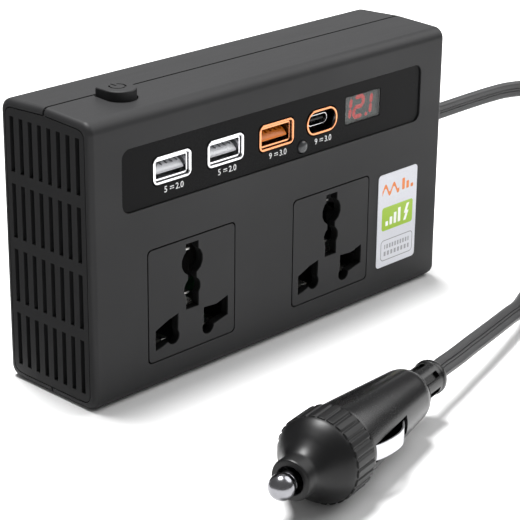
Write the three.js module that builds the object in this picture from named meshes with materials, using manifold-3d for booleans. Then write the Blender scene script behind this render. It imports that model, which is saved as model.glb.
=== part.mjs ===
// Pocket power inverter with two mains sockets, four charging ports and a car plug on a lead.
// Units are millimetres. +Z is up, the sockets face -Y, and the origin is the centre of the base.

import * as THREE from 'three';
import { mergeVertices } from 'three/addons/utils/BufferGeometryUtils.js';
import Module from 'manifold-3d';

const wasm = await Module();
wasm.setup();

// ---------------------------------------------------------------- driving dimensions

// The top ridge and the base fall away to the front and back by the taper; the base has a flat land.
const CASE = {
  length: 170, depth: 42.7, height: 97, wall: 2.3, fillet: 4, rim: 2, taper: 0.044, landHalf: 13.6,
};
const GAP = 0.3;
const PORT_Z = 74.9;
const PANEL = { width: 144.1, height: 21, z: 74.6, corner: 3.3, sunk: 0.6, thickness: 0.8 };
const USB_A = {
  width: 16.6, height: 9.2, corner: 2, depth: 13.5, metal: 1.7, centres: [-50.3, -26.4, -2.4],
};
const TONGUE_A = { width: 12.2, thickness: 3, rise: 0.1, start: 1.2 };
const USB_C = { width: 15.4, height: 8.8, corner: 4.2, depth: 11.5, metal: 0.9, x: 20.1 };
const SOCKET_C = { width: 10.1, height: 3.85, corner: 1.85, depth: 7.8, metal: 0.35, start: 2.5 };
const TONGUE_C = { width: 7.2, thickness: 0.8, start: 3.2 };
const DISPLAY = { width: 18, height: 9.6, x: 41.3, z: 75.5 };
const LAMP = { x: 10.4, z: 67.7, radius: 2.2 };
const SOCKET = { width: 38.9, height: 39, z: 29.6, centres: [-42.1, 25.6], thickness: 3, corner: 1.6 };
const LABEL = { width: 21.6, height: 35.8, x: 61.3, z: 29.7, corner: 1.5, thickness: 0.2 };
const GRILLE = {
  thickness: 2.4, slot: 1.9, slotLength: 18.4, pitchY: 4.49, pitchZ: 22.3, z: 48.25, rows: 4, columns: 8,
};
const BUTTON = { x: -59.2, y: -6.4, radius: 5.5, back: -1, top: 99.8 };
const SCREW = { x: 77.2, low: 9.8, high: 86.5, post: 3.2, hole: 1.5 };
const FAN = { x: 62.5, z: 26, size: 34, depth: 10 };
const CORD = { section: 3.4, exitZ: 54.6, glandHole: 4.3, glandFlange: 6.3 };
const COIL = { x: 132, y: -90, radius: 36, halfWidth: 3.6, bottom: 0.95, top: 8.1 };
const TIE = { width: 10, strap: 0.8, bottom: 0.05 };
const PLUG = { tip: [-100.55, -114.38, 14.1], heading: 11.25, dip: 0.3, roll: -1.3 };

const COLOURS = {
  shell: 0x3d3d3e, grille: 0x303031, panel: 0x1f1f20, cord: 0x2e2e2f, black: 0x161617, white: 0xf2f2f4,
  chrome: 0xd9dadc, steel: 0xb8babd, aluminium: 0xa9adb1, brass: 0xc9a44c, copper: 0xd98a5a,
  winding: 0xb5652a, orange: 0xe5791f, greyPlastic: 0xb9babc, display: 0x55595a, lamp: 0x6d7072,
  glass: 0xdfe6e8, board: 0x1f5a35, ferrite: 0x3a3835,
};

const part = new THREE.Group();

// ---------------------------------------------------------------- shape helpers

function material(colour, roughness = 0.5, metalness = 0) {
  return new THREE.MeshStandardMaterial({ color: COLOURS[colour], roughness, metalness });
}

function solid(geometry) {
  const bare = geometry.index ? geometry.toNonIndexed() : geometry.clone();
  bare.deleteAttribute('normal');
  bare.deleteAttribute('uv');
  const merged = mergeVertices(bare, 1e-4);
  return new wasm.Manifold(new wasm.Mesh({
    numProp: 3,
    vertProperties: new Float32Array(merged.attributes.position.array),
    triVerts: new Uint32Array(merged.index.array),
  }));
}

function geometryOf(body) {
  const mesh = body.getMesh();
  const geometry = new THREE.BufferGeometry();
  geometry.setAttribute('position', new THREE.BufferAttribute(mesh.vertProperties, 3));
  geometry.setIndex(new THREE.BufferAttribute(mesh.triVerts, 1));
  return geometry;
}

function join(first, ...others) {
  return others.reduce((sum, other) => sum.add(other), first);
}

function cut(first, ...others) {
  return others.reduce((rest, other) => rest.subtract(other), first);
}

function addPart(name, shape, mat, parent = part) {
  const geometry = shape.isBufferGeometry ? shape : geometryOf(shape);
  geometry.computeVertexNormals();
  const mesh = new THREE.Mesh(geometry, mat);
  mesh.name = name;
  parent.add(mesh);
  return mesh;
}

// A box from its lowest to its highest corner.
function block(low, high) {
  const size = high.map((value, axis) => value - low[axis]);
  const box = new THREE.BoxGeometry(...size);
  box.translate(...low.map((value, axis) => value + size[axis] / 2));
  return box;
}

// A cylinder between two places along one axis, centred at (a, b) in the other two.
function rod(axis, from, to, a, b, radius, sides = 16) {
  const shape = new THREE.CylinderGeometry(radius, radius, to - from, sides);
  const middle = (from + to) / 2;
  if (axis === 'x') shape.rotateZ(-Math.PI / 2).translate(middle, a, b);
  if (axis === 'y') shape.translate(a, middle, b);
  if (axis === 'z') shape.rotateX(Math.PI / 2).translate(a, b, middle);
  return shape;
}

// Corners [x, y, radius] joined by straight lines and rounded by arcs.
function outline(corners, steps = 4) {
  const points = [];
  corners.forEach(([x, y, radius], i) => {
    const here = new THREE.Vector2(x, y);
    const [px, py] = corners.at(i - 1);
    const [nx, ny] = corners[(i + 1) % corners.length];
    const back = new THREE.Vector2(px - x, py - y).normalize();
    const on = new THREE.Vector2(nx - x, ny - y).normalize();
    const half = Math.acos(THREE.MathUtils.clamp(back.dot(on), -1, 1)) / 2;
    if (!radius || half > 1.5) {
      points.push(here);
      return;
    }
    const centre = back.clone().add(on).setLength(radius / Math.sin(half)).add(here);
    const start = back.multiplyScalar(radius / Math.tan(half)).add(here).sub(centre);
    const end = on.multiplyScalar(radius / Math.tan(half)).add(here).sub(centre);
    const turn = Math.atan2(start.cross(end), start.dot(end));
    for (let k = 0; k <= steps; k += 1) {
      points.push(start.clone().rotateAround(new THREE.Vector2(), (turn * k) / steps).add(centre));
    }
  });
  return points;
}

function rectangle(x, y, width, height, radius) {
  const [w, h] = [width / 2, height / 2];
  const corners = [[x - w, y - h], [x + w, y - h], [x + w, y + h], [x - w, y + h]];
  return outline(corners.map((corner) => [...corner, radius]), 3);
}

// A port's or window's outline with clearance all round.
function clearOf(x, z, size, radius) {
  return rectangle(x, z, size.width + 2 * GAP, size.height + 2 * GAP, radius);
}

// An outline in X and Z, extruded along Y from y0 to y1.
function slab(points, y0, y1) {
  const shape = new THREE.ExtrudeGeometry(new THREE.Shape(points), { depth: y1 - y0, bevelEnabled: false });
  return shape.rotateX(Math.PI / 2).translate(0, y1, 0);
}

// An outline in Y and Z, extruded along X from x0 to x1, with its two end edges rounded by bevel.
function bar(points, x0, x1, bevel = 0) {
  const shape = new THREE.ExtrudeGeometry(new THREE.Shape(points), {
    depth: x1 - x0 - 2 * bevel,
    bevelEnabled: bevel > 0,
    bevelSize: bevel,
    bevelThickness: bevel,
    bevelOffset: -bevel,
    bevelSegments: 3,
  });
  return shape.rotateX(Math.PI / 2).rotateZ(Math.PI / 2).translate(x0 + bevel, 0, 0);
}

// An outline in X and Y, extruded upwards.
function slice(points, z0, z1) {
  const shape = new THREE.ExtrudeGeometry(new THREE.Shape(points), { depth: z1 - z0, bevelEnabled: false });
  return shape.translate(0, 0, z0);
}

// A turned piece about Z from [radius, height] pairs.
function turned(profile, sides = 24) {
  const points = profile.map(([radius, height]) => new THREE.Vector2(radius, height));
  return new THREE.LatheGeometry(points, sides).rotateX(Math.PI / 2);
}

// A wire swept along a smooth curve through the points.
function wire(points, radius, sides, steps) {
  const section = new THREE.Shape(
    Array.from({ length: sides }, (_, i) => {
      const angle = (i / sides) * 2 * Math.PI;
      return new THREE.Vector2(radius * Math.cos(angle), radius * Math.sin(angle));
    }),
  );
  const path = new THREE.CatmullRomCurve3(points.map((p) => new THREE.Vector3(...p)), false, 'centripetal');
  return new THREE.ExtrudeGeometry(section, { steps, extrudePath: path });
}

function spring(radius, wireRadius, from, to, turns) {
  const count = turns * 8;
  const points = Array.from({ length: count + 1 }, (_, i) => {
    const angle = (i / 8) * 2 * Math.PI;
    return [radius * Math.cos(angle), radius * Math.sin(angle), from + ((to - from) * i) / count];
  });
  return wire(points, wireRadius, 5, count);
}

// ---------------------------------------------------------------- case

const HALF = { x: CASE.length / 2, y: CASE.depth / 2 };
const FACE_Y = -HALF.y;

// The case's section in Y and Z: a low ridge along the top, a flat land below, and four rounded edges.
function caseSection(inset, radius) {
  const y = HALF.y - inset;
  const shoulder = CASE.height - CASE.taper * HALF.y - inset;
  const heel = CASE.taper * (HALF.y - CASE.landHalf) + inset;
  return outline([
    [-y, heel, radius], [-CASE.landHalf, inset, 0], [CASE.landHalf, inset, 0], [y, heel, radius],
    [y, shoulder, radius], [0, CASE.height - inset, 0], [-y, shoulder, radius],
  ], 4);
}

function buttonOutline(clearance) {
  const radius = BUTTON.radius + clearance;
  const points = [new THREE.Vector2(BUTTON.x - radius, BUTTON.back + clearance)];
  for (let i = 0; i <= 10; i += 1) {
    const angle = Math.PI + (i / 10) * Math.PI;
    const [x, y] = [BUTTON.x + radius * Math.cos(angle), BUTTON.y + radius * Math.sin(angle)];
    points.push(new THREE.Vector2(x, y));
  }
  points.push(new THREE.Vector2(BUTTON.x + radius, BUTTON.back + clearance));
  return points;
}

const screwPlaces = [-SCREW.x, SCREW.x].flatMap((x) => [SCREW.low, SCREW.high].map((z) => [x, z]));

function caseHalf(side) {
  const outer = solid(bar(caseSection(0, CASE.fillet), -HALF.x, HALF.x, CASE.rim));
  const hollow = solid(bar(caseSection(CASE.wall, 3), -HALF.x - 1, HALF.x + 1));
  const inner = side * (HALF.y - CASE.wall + 0.5);
  const posts = screwPlaces.map(([x, z]) => {
    const reach = [side * GAP / 2, inner].sort((a, b) => a - b);
    return solid(rod('y', ...reach, x, z, SCREW.post, 8));
  });
  const far = HALF.y + 10;
  const half = side < 0
    ? block([-HALF.x - 5, -far, -5], [HALF.x + 5, -GAP / 2, CASE.height + 5])
    : block([-HALF.x - 5, GAP / 2, -5], [HALF.x + 5, far, CASE.height + 5]);
  return join(cut(outer, hollow), ...posts).intersect(solid(half));
}

// The clearances that the ports and the display need through the panel and the case.
function portOutlines() {
  return [
    ...USB_A.centres.map((x) => clearOf(x, PORT_Z, USB_A, USB_A.corner)),
    clearOf(USB_C.x, PORT_Z, USB_C, USB_C.corner),
    clearOf(DISPLAY.x, DISPLAY.z, DISPLAY, 0),
  ];
}

function frontShell() {
  const deep = FACE_Y + CASE.wall + 1;
  const seatFloor = FACE_Y + PANEL.sunk + PANEL.thickness + GAP;
  const panelSeat = slab(clearOf(0, PANEL.z, PANEL, PANEL.corner), FACE_Y - 1, seatFloor);
  const holes = [
    ...SOCKET.centres.map((x) => clearOf(x, SOCKET.z, SOCKET, SOCKET.corner)),
    ...portOutlines(),
  ].map((points) => slab(points, FACE_Y - 1, deep));
  const lamp = rod('y', FACE_Y - 1, deep, LAMP.x, LAMP.z, LAMP.radius + GAP, 12);
  const buttonWell = slice(buttonOutline(0.35), CASE.height - 6, CASE.height + 2);
  const pilots = screwPlaces.map(([x, z]) => solid(rod('y', -14, 1, x, z, SCREW.hole, 8)));
  const openings = [panelSeat, ...holes, lamp, buttonWell].map(solid);
  return cut(caseHalf(-1), ...openings, ...pilots);
}

function rearShell() {
  const shell = caseHalf(1);
  const supports = [-66, 48].flatMap((x) => [14, 82].map((z) => (
    solid(block([x - 2.5, 15.4, z - 2.5], [x + 2.5, HALF.y - 1, z + 2.5]))
  )));
  const bores = screwPlaces.map(([x, z]) => solid(rod('y', -1, HALF.y + 1, x, z, SCREW.hole + 0.2, 8)));
  const heads = screwPlaces.map(([x, z]) => solid(rod('y', HALF.y - 5, HALF.y + 1, x, z, 3, 12)));
  return cut(join(shell, ...supports), ...bores, ...heads);
}

function grille(side) {
  const x = side < 0 ? [-HALF.x, -HALF.x + GRILLE.thickness] : [HALF.x - GRILLE.thickness, HALF.x];
  let plate = solid(bar(caseSection(CASE.wall + GAP, 2.8), ...x));
  for (let row = 0; row < GRILLE.rows; row += 1) {
    for (let column = 0; column < GRILLE.columns; column += 1) {
      const y = (column - (GRILLE.columns - 1) / 2) * GRILLE.pitchY;
      const z = GRILLE.z + (row - (GRILLE.rows - 1) / 2) * GRILLE.pitchZ;
      const low = [x[0] - 1, y - GRILLE.slot / 2, z - GRILLE.slotLength / 2];
      const high = [x[1] + 1, y + GRILLE.slot / 2, z + GRILLE.slotLength / 2];
      plate = cut(plate, solid(block(low, high)));
    }
  }
  if (side < 0) return plate;
  const hole = solid(rod('x', x[0] - 1, x[1] + 1, 0, CORD.exitZ, CORD.glandHole, 16));
  const boss = solid(bar(rectangle(0, CORD.exitZ, 15, 15, 1), ...x));
  return cut(join(plate, boss), hole);
}

function caseScrew([x, z]) {
  const head = solid(rod('y', HALF.y - 4.8, HALF.y - 3, x, z, 2.6, 12));
  const shank = solid(rod('y', -12, HALF.y - 4, x, z, 1.2, 8));
  return join(head, shank);
}

addPart('front_shell', frontShell(), material('shell', 0.55));
addPart('rear_shell', rearShell(), material('shell', 0.55));
addPart('left_grille', grille(-1), material('grille', 0.6));
addPart('right_grille', grille(1), material('grille', 0.6));
screwPlaces.forEach((place, i) => {
  addPart(`case_screw_${i + 1}`, caseScrew(place), material('steel', 0.35, 1));
});

// ---------------------------------------------------------------- control panel and ports

const PANEL_Y = FACE_Y + PANEL.sunk;
const PORT_FRONT = PANEL_Y - 0.3;

function controlPanel() {
  const face = rectangle(0, PANEL.z, PANEL.width, PANEL.height, PANEL.corner);
  const plate = slab(face, PANEL_Y, PANEL_Y + PANEL.thickness);
  const [near, far] = [PANEL_Y - 1, PANEL_Y + 3];
  const holes = portOutlines().map((points) => slab(points, near, far));
  const lamp = rod('y', near, far, LAMP.x, LAMP.z, LAMP.radius + GAP, 12);
  return cut(...[plate, ...holes, lamp].map(solid));
}

// A port shell, open at the front and closed at the back. Start is measured from the ports' common face.
function portShell(x, size, start = 0) {
  const [front, back] = [PORT_FRONT + start, PORT_FRONT + start + size.depth];
  const outer = rectangle(x, PORT_Z, size.width, size.height, size.corner);
  const [width, height] = [size.width - 2 * size.metal, size.height - 2 * size.metal];
  const inner = rectangle(x, PORT_Z, width, height, size.corner - size.metal);
  return cut(solid(slab(outer, front, back)), solid(slab(inner, front - 1, back - size.metal)));
}

// The contact tongue of a port, which ends just short of the back wall behind it.
function portTongue(x, z, tongue, back) {
  const halfWidth = tongue.width / 2;
  const halfThickness = tongue.thickness / 2;
  return block(
    [x - halfWidth, PORT_FRONT + tongue.start, z - halfThickness],
    [x + halfWidth, back - GAP, z + halfThickness],
  );
}

addPart('control_panel', controlPanel(), material('panel', 0.25));
USB_A.centres.forEach((x, i) => {
  const charging = i === 2;
  const back = PORT_FRONT + USB_A.depth - USB_A.metal;
  const metal = material(charging ? 'copper' : 'chrome', 0.25, 1);
  addPart(`usb_a_shell_${i + 1}`, portShell(x, USB_A), metal);
  addPart(
    `usb_a_tongue_${i + 1}`,
    portTongue(x, PORT_Z + TONGUE_A.rise, TONGUE_A, back),
    material(charging ? 'orange' : 'greyPlastic', 0.45),
  );
});
addPart('usb_c_shell', portShell(USB_C.x, USB_C), material('copper', 0.25, 1));
addPart('usb_c_socket', portShell(USB_C.x, SOCKET_C, SOCKET_C.start), material('chrome', 0.25, 1));
addPart(
  'usb_c_tongue',
  portTongue(USB_C.x, PORT_Z, TONGUE_C, PORT_FRONT + SOCKET_C.start + SOCKET_C.depth - SOCKET_C.metal),
  material('black', 0.4),
);
addPart(
  'port_board',
  block([-62, PANEL_Y + 13.6, 66], [54, PANEL_Y + 15.2, 79.6]),
  material('board', 0.6),
);
addPart(
  'display_window',
  slab(rectangle(DISPLAY.x, DISPLAY.z, DISPLAY.width, DISPLAY.height, 0), PANEL_Y, PANEL_Y + 1),
  material('display', 0.15),
);
addPart(
  'display_module',
  slab(rectangle(DISPLAY.x, DISPLAY.z, DISPLAY.width, DISPLAY.height, 0), PANEL_Y + 1.3, PANEL_Y + 8.5),
  material('black', 0.6),
);

function indicatorLens() {
  const r = LAMP.radius;
  const dome = turned([[0, 0], [r * 0.4, 0.1], [r * 0.8, 0.5], [r, 1.2], [r, 6], [0, 6]], 12);
  return dome.rotateX(-Math.PI / 2).translate(LAMP.x, PANEL_Y - 1.2, LAMP.z);
}

addPart('indicator_lens', indicatorLens(), material('lamp', 0.2));

// ---------------------------------------------------------------- mains sockets

// The holes of a universal socket, measured from the plate's centre.
const EARTH_HOLES = [
  rectangle(0, 15.2, 5.8, 5, 0), rectangle(0, 6.8, 4, 4.4, 0), rectangle(0, -1.6, 5.8, 7.4, 0),
];
const EARTH_ROUNDS = [[0, 11.2, 4.85], [0, 1.8, 3.75]];
const LIVE_BLADE = [
  [-16.6, -8.8, 0], [-16.6, -15.9, 0], [-13.4, -15.2, 0],
  [-6.6, -12.6, 0], [-6.3, -5.4, 0], [-10.6, -6.4, 0],
];
const NEUTRAL_BLADE = [
  [5.2, -6.8, 0], [5.2, -12.8, 0], [9.6, -14.2, 0], [16.5, -12.6, 0], [16.5, -5.6, 0], [11, -7.2, 0],
];
const PIN_ROUNDS = [[-8.6, -13.1, 2.7], [7.2, -14.2, 2.7]];

function socketPlate(x) {
  const [near, far] = [FACE_Y - 1, FACE_Y + SOCKET.thickness + 1];
  const plate = solid(slab(
    rectangle(x, SOCKET.z, SOCKET.width, SOCKET.height, SOCKET.corner), FACE_Y, FACE_Y + SOCKET.thickness,
  ));
  const straight = [...EARTH_HOLES, outline(LIVE_BLADE), outline(NEUTRAL_BLADE)].map((points) => (
    solid(slab(points, near, far).translate(x, 0, SOCKET.z))
  ));
  const round = [...EARTH_ROUNDS, ...PIN_ROUNDS].map(([dx, dz, radius]) => (
    solid(rod('y', near, far, x + dx, SOCKET.z + dz, radius, 14))
  ));
  return cut(plate, ...straight, ...round);
}

// A folded strip: two leaves that grip a plug pin, joined by a strap at the back.
function contact(x, z, width, opening) {
  const [front, back] = [FACE_Y + SOCKET.thickness + GAP, FACE_Y + SOCKET.thickness + 10];
  const [half, grip, sheet] = [width / 2, opening / 2, 0.8];
  const outer = block([x - half, front, z - grip - sheet], [x + half, back, z + grip + sheet]);
  const inner = block([x - half - 1, front - 1, z - grip], [x + half + 1, back - sheet, z + grip]);
  return cut(solid(outer), solid(inner));
}

SOCKET.centres.forEach((x, i) => {
  const id = i + 1;
  addPart(`socket_plate_${id}`, socketPlate(x), material('shell', 0.55));
  addPart(`earth_contact_${id}`, contact(x, SOCKET.z + 6.5, 4, 14.5), material('brass', 0.3, 1));
  addPart(`live_contact_${id}`, contact(x - 11.2, SOCKET.z - 10.8, 6, 7), material('brass', 0.3, 1));
  addPart(`neutral_contact_${id}`, contact(x + 11.2, SOCKET.z - 10.8, 6, 7), material('brass', 0.3, 1));
});

function ratingLabel() {
  const face = rectangle(LABEL.x, LABEL.z, LABEL.width, LABEL.height, LABEL.corner);
  const back = FACE_Y - 0.05;
  return slab(face, back - LABEL.thickness, back);
}

addPart('rating_label', ratingLabel(), material('white', 0.4));

// ---------------------------------------------------------------- power button

const FLANGE_Z = 91.9;

function powerButton() {
  const cap = slice(buttonOutline(0), FLANGE_Z, BUTTON.top);
  const flange = slice(rectangle(BUTTON.x, BUTTON.y, 14, 14, 2), FLANGE_Z, FLANGE_Z + 1.7);
  const stem = rod('z', FLANGE_Z - 4, FLANGE_Z + 1, BUTTON.x, BUTTON.y, 2.2, 10);
  return join(solid(cap), solid(flange), solid(stem));
}

addPart('power_button', powerButton(), material('shell', 0.6));
addPart(
  'button_switch',
  block([BUTTON.x - 4.5, BUTTON.y - 4, 80], [BUTTON.x + 4.5, BUTTON.y + 4, 86.2]),
  material('black', 0.5),
);
addPart(
  'button_spring',
  spring(3.2, 0.35, 86.9, FLANGE_Z - 0.7, 3).translate(BUTTON.x, BUTTON.y, 0),
  material('steel', 0.3, 1),
);

// ---------------------------------------------------------------- electronics

const BOARD_Y = 13.5;

function transformerCore(x, z) {
  const core = solid(block([x - 17, -8, z - 16], [x + 17, 12, z + 16]));
  const windows = [-8.5, 8.5].map((dx) => (
    solid(block([x + dx - 3.5, -9, z - 10.5], [x + dx + 3.5, 13, z + 10.5]))
  ));
  return cut(core, ...windows);
}

function transformerWinding(x, z) {
  const coil = solid(slice(rectangle(x, 2, 23, 21.8, 3), z - 10, z + 10));
  const legHole = solid(block([x - 5.3, -8.3, z - 11], [x + 5.3, 12.3, z + 11]));
  return cut(coil, legHole);
}

function heatSink() {
  const base = solid(block([-68, 9.5, 14], [-46, 13.2, 78]));
  const fins = [-67, -62, -57, -52, -47].map((x) => solid(block([x - 0.9, -4, 14], [x + 0.9, 10, 78])));
  return join(base, ...fins);
}

addPart('main_board', block([-72, BOARD_Y, 8], [54, BOARD_Y + 1.6, 88]), material('board', 0.6));
addPart('transformer_core', transformerCore(-14, 44), material('ferrite', 0.7));
addPart('transformer_winding', transformerWinding(-14, 44), material('winding', 0.4));
addPart('heat_sink', heatSink(), material('aluminium', 0.35, 1));
[26, 48, 70].forEach((z, i) => {
  const casing = block([-45.4, -3, z - 5], [-41.4, 11, z + 5]);
  addPart(`power_transistor_${i + 1}`, casing, material('black', 0.5));
});
[56, 24].forEach((z, i) => {
  addPart(`filter_capacitor_${i + 1}`, rod('y', -6, BOARD_Y - GAP, 26, z, 8, 16), material('black', 0.35));
});
addPart('mains_fuse', rod('z', 60, 82, 4, 9, 3, 10), material('glass', 0.1));

// ---------------------------------------------------------------- cooling fan

function fanFrame() {
  const [low, high] = [FAN.x, FAN.x + FAN.depth];
  const frame = solid(bar(rectangle(0, FAN.z, FAN.size, FAN.size, 2), low, high));
  const bore = solid(rod('x', low - 1, high + 1, 0, FAN.z, FAN.size / 2 - 1.3, 24));
  const arm = FAN.size / 2 - 1;
  const spider = solid(block([high - 1.5, -arm, FAN.z - 1], [high, arm, FAN.z + 1]));
  const motor = solid(rod('x', high - 1.5, high, 0, FAN.z, 6.5, 12));
  return join(cut(frame, bore), spider, motor);
}

function fanRotor() {
  const [low, high] = [FAN.x + 0.6, FAN.x + FAN.depth - 2];
  const hub = solid(rod('x', low, high, 0, FAN.z, 7, 14));
  const blades = Array.from({ length: 7 }, (_, i) => {
    const blade = block([-3, -0.5, 6], [3, 0.5, 15]).rotateZ(0.7).rotateX((i / 7) * 2 * Math.PI);
    return solid(blade.translate((low + high) / 2, 0, FAN.z));
  });
  return join(hub, ...blades);
}

addPart('fan_frame', fanFrame(), material('black', 0.55));
addPart('fan_rotor', fanRotor(), material('black', 0.45));

// ---------------------------------------------------------------- lead

// The strain relief tapers along the lead and has a collar on each side of the grille.
function cordGland() {
  const z = CORD.exitZ;
  const neck = HALF.x - GRILLE.thickness;
  const [flange, waist] = [CORD.glandFlange, CORD.glandHole - 0.4];
  const profile = [
    [0, 0], [flange, 0], [flange, 1.7], [waist, 1.7], [waist, 4.7], [flange, 4.7],
    [flange, 6.4], [5.2, 7.2], [3.4, 20], [3.1, 25.6], [0, 25.6],
  ];
  return turned(profile, 16).rotateY(Math.PI / 2).translate(neck - 2, 0, z);
}

// Route points of the lead, from the gland to the coil and from the coil to the plug.
const LEAD_OUT = [
  [106.5, 0, 54.6], [118, 0, 54.7], [130, 0, 54.8], [142, -0.1, 54.8], [153, -0.6, 54.5], [164, -2, 53.2],
  [175, -5.5, 50], [184.5, -11.8, 44.5], [190, -20.8, 37], [191, -30.3, 29.5], [187.5, -39.4, 22.3],
  [179.5, -46.8, 16.6], [168.5, -51.8, 12.6], [157.5, -54.3, 9.6],
];
const LEAD_BACK = [
  [106.5, -57.8, 2.5], [99, -60.6, 2.9], [90, -64.3, 3.6], [81, -67.9, 4.6], [71.4, -71.5, 5.7],
  [61.4, -74.6, 6.7], [51.4, -77.7, 7.8], [41.4, -80.9, 9], [31.6, -84.2, 10.2], [22, -87.3, 11.4],
  [13, -90.2, 12.4], [5.5, -92.4, 13], [-1, -94.2, 13.4], [-7.9, -95.9, 13.6],
];

function coilRing() {
  const [inner, outer] = [COIL.radius - COIL.halfWidth, COIL.radius + COIL.halfWidth];
  const height = COIL.top - COIL.bottom;
  const ring = turned([[inner, 0], [outer, 0], [outer, height], [inner, height], [inner, 0]], 32);
  return ring.translate(COIL.x, COIL.y, COIL.bottom);
}

// A hook-and-loop strap round one side of the coil.
function cordTie() {
  const inside = COIL.halfWidth + 2 * GAP;
  const outside = inside + TIE.strap;
  const top = COIL.top + GAP;
  const outer = block(
    [COIL.radius - outside, -TIE.width / 2, TIE.bottom],
    [COIL.radius + outside, TIE.width / 2, top + TIE.strap],
  );
  const inner = block(
    [COIL.radius - inside, -TIE.width, TIE.bottom + TIE.strap],
    [COIL.radius + inside, TIE.width, top],
  );
  return cut(solid(outer), solid(inner));
}

addPart('cord_gland', cordGland(), material('black', 0.5));
addPart('cord_out', wire(LEAD_OUT, CORD.section / 2, 8, 22), material('cord', 0.5));
addPart('cord_coil', coilRing(), material('cord', 0.5));
addPart('cord_back', wire(LEAD_BACK, CORD.section / 2, 8, 16), material('cord', 0.5));

const tie = new THREE.Group();
tie.position.set(COIL.x, COIL.y, 0);
tie.rotation.z = -Math.PI / 2;
part.add(tie);
addPart('cord_tie', cordTie(), material('black', 0.8), tie);

// ---------------------------------------------------------------- car plug

// The plug lies on its knurled ring. Its own Z runs from the contact pin back to the lead.
function plugFrame() {
  const [heading, dip, roll] = [PLUG.heading, PLUG.dip, PLUG.roll].map(THREE.MathUtils.degToRad);
  const level = Math.cos(dip);
  const back = new THREE.Vector3(level * Math.cos(heading), level * Math.sin(heading), -Math.sin(dip));
  const near = new THREE.Vector3(Math.sin(heading), -Math.cos(heading), 0);
  const down = new THREE.Vector3().crossVectors(near, back);
  down.multiplyScalar(-Math.sign(down.z));
  const side = near.multiplyScalar(Math.cos(roll)).addScaledVector(down, Math.sin(roll)).normalize();
  const across = new THREE.Vector3().crossVectors(back, side);
  const frame = new THREE.Group();
  frame.quaternion.setFromRotationMatrix(new THREE.Matrix4().makeBasis(side, across, back));
  frame.position.set(...PLUG.tip);
  return frame;
}

const plug = plugFrame();
part.add(plug);

function plugBody() {
  const shell = solid(turned([
    [4.4, 23.9], [9.3, 23.9], [9.3, 33], [12.7, 33], [12.3, 39.7], [11.4, 49.1], [10.4, 60], [9.3, 70.9],
    [8.7, 76.2], [7.6, 78.4], [0, 78.4], [0, 56], [4.4, 56], [4.4, 23.9],
  ]));
  const pockets = [-1, 1].map((side) => {
    const reach = [side * 6, side * 18].sort((a, b) => a - b);
    return solid(block([reach[0], -3, 35.8], [reach[1], 3, 58]));
  });
  return cut(shell, ...pockets);
}

// The flared nose and the knurled ring are one moulding that screws onto the body's neck.
function noseCap() {
  return turned([
    [4.3, 6.3], [6, 6.3], [6.6, 7], [6.6, 9.8], [7.3, 12.2], [9, 15.2], [11.4, 18.4], [13.2, 21.2],
    [13.9, 23.2], [13.9, 32.6], [9.6, 32.6], [9.6, 22.3], [4.9, 22.3], [4.9, 13], [3.6, 13], [3.6, 11],
    [4.3, 11], [4.3, 6.3],
  ]);
}

function contactPin() {
  return turned([
    [0, 0], [1.5, 0.3], [2.8, 1.15], [3.7, 2.45], [4, 4], [3.75, 5.4], [3.3, 6.3], [3.3, 13.3],
    [4.5, 13.3], [4.5, 14.9], [2.8, 14.9], [2.8, 16.8], [0, 16.8],
  ], 16);
}

function springSeat() {
  return turned([[3.6, 22.6], [9.2, 22.6], [9.2, 23.5], [3.6, 23.5], [3.6, 22.6]], 16);
}

// A bowed leaf whose front end is the fixed root and whose back end lies in the body's pocket.
function sideContact(side) {
  const leaf = [
    [11.9, 36.2], [12.9, 38.6], [13.7, 42.8], [13.9, 47], [13.2, 50.8], [11.4, 54.4], [9.6, 56.8],
  ];
  const inner = leaf.map(([r, s]) => [r - 0.6, s]).reverse();
  const shape = new THREE.Shape([...leaf, ...inner].map(([r, s]) => new THREE.Vector2(r, s)));
  const strip = new THREE.ExtrudeGeometry(shape, { depth: 5, bevelEnabled: false });
  strip.rotateX(Math.PI / 2).translate(0, 2.5, 0);
  return side > 0 ? strip : strip.rotateZ(Math.PI);
}

function strainRelief() {
  return turned([
    [0, 78.7], [5.5, 78.7], [5.5, 91.2], [5.8, 91.6], [5.8, 92.8], [5, 93.4], [0, 93.4],
  ], 16);
}

addPart('plug_body', plugBody(), material('black', 0.35), plug);
addPart('plug_collar', strainRelief(), material('black', 0.4), plug);
addPart('nose_cap', noseCap(), material('black', 0.45), plug);
addPart('spring_seat', springSeat(), material('steel', 0.3, 1), plug);
addPart('contact_pin', contactPin(), material('chrome', 0.15, 1), plug);
addPart('plug_fuse', rod('z', 17.1, 47.1, 0, 0, 3.1, 12), material('glass', 0.1), plug);
addPart('pin_spring', spring(2.9, 0.45, 48, 52.6, 3), material('steel', 0.3, 1), plug);
addPart('side_contact_1', sideContact(1), material('chrome', 0.15, 1), plug);
addPart('side_contact_2', sideContact(-1), material('chrome', 0.15, 1), plug);

export default part;
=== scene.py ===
import math

import bmesh
import bpy
from bpy.props import FloatProperty, FloatVectorProperty, IntProperty, PointerProperty, StringProperty
from mathutils import Matrix, Vector


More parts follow.
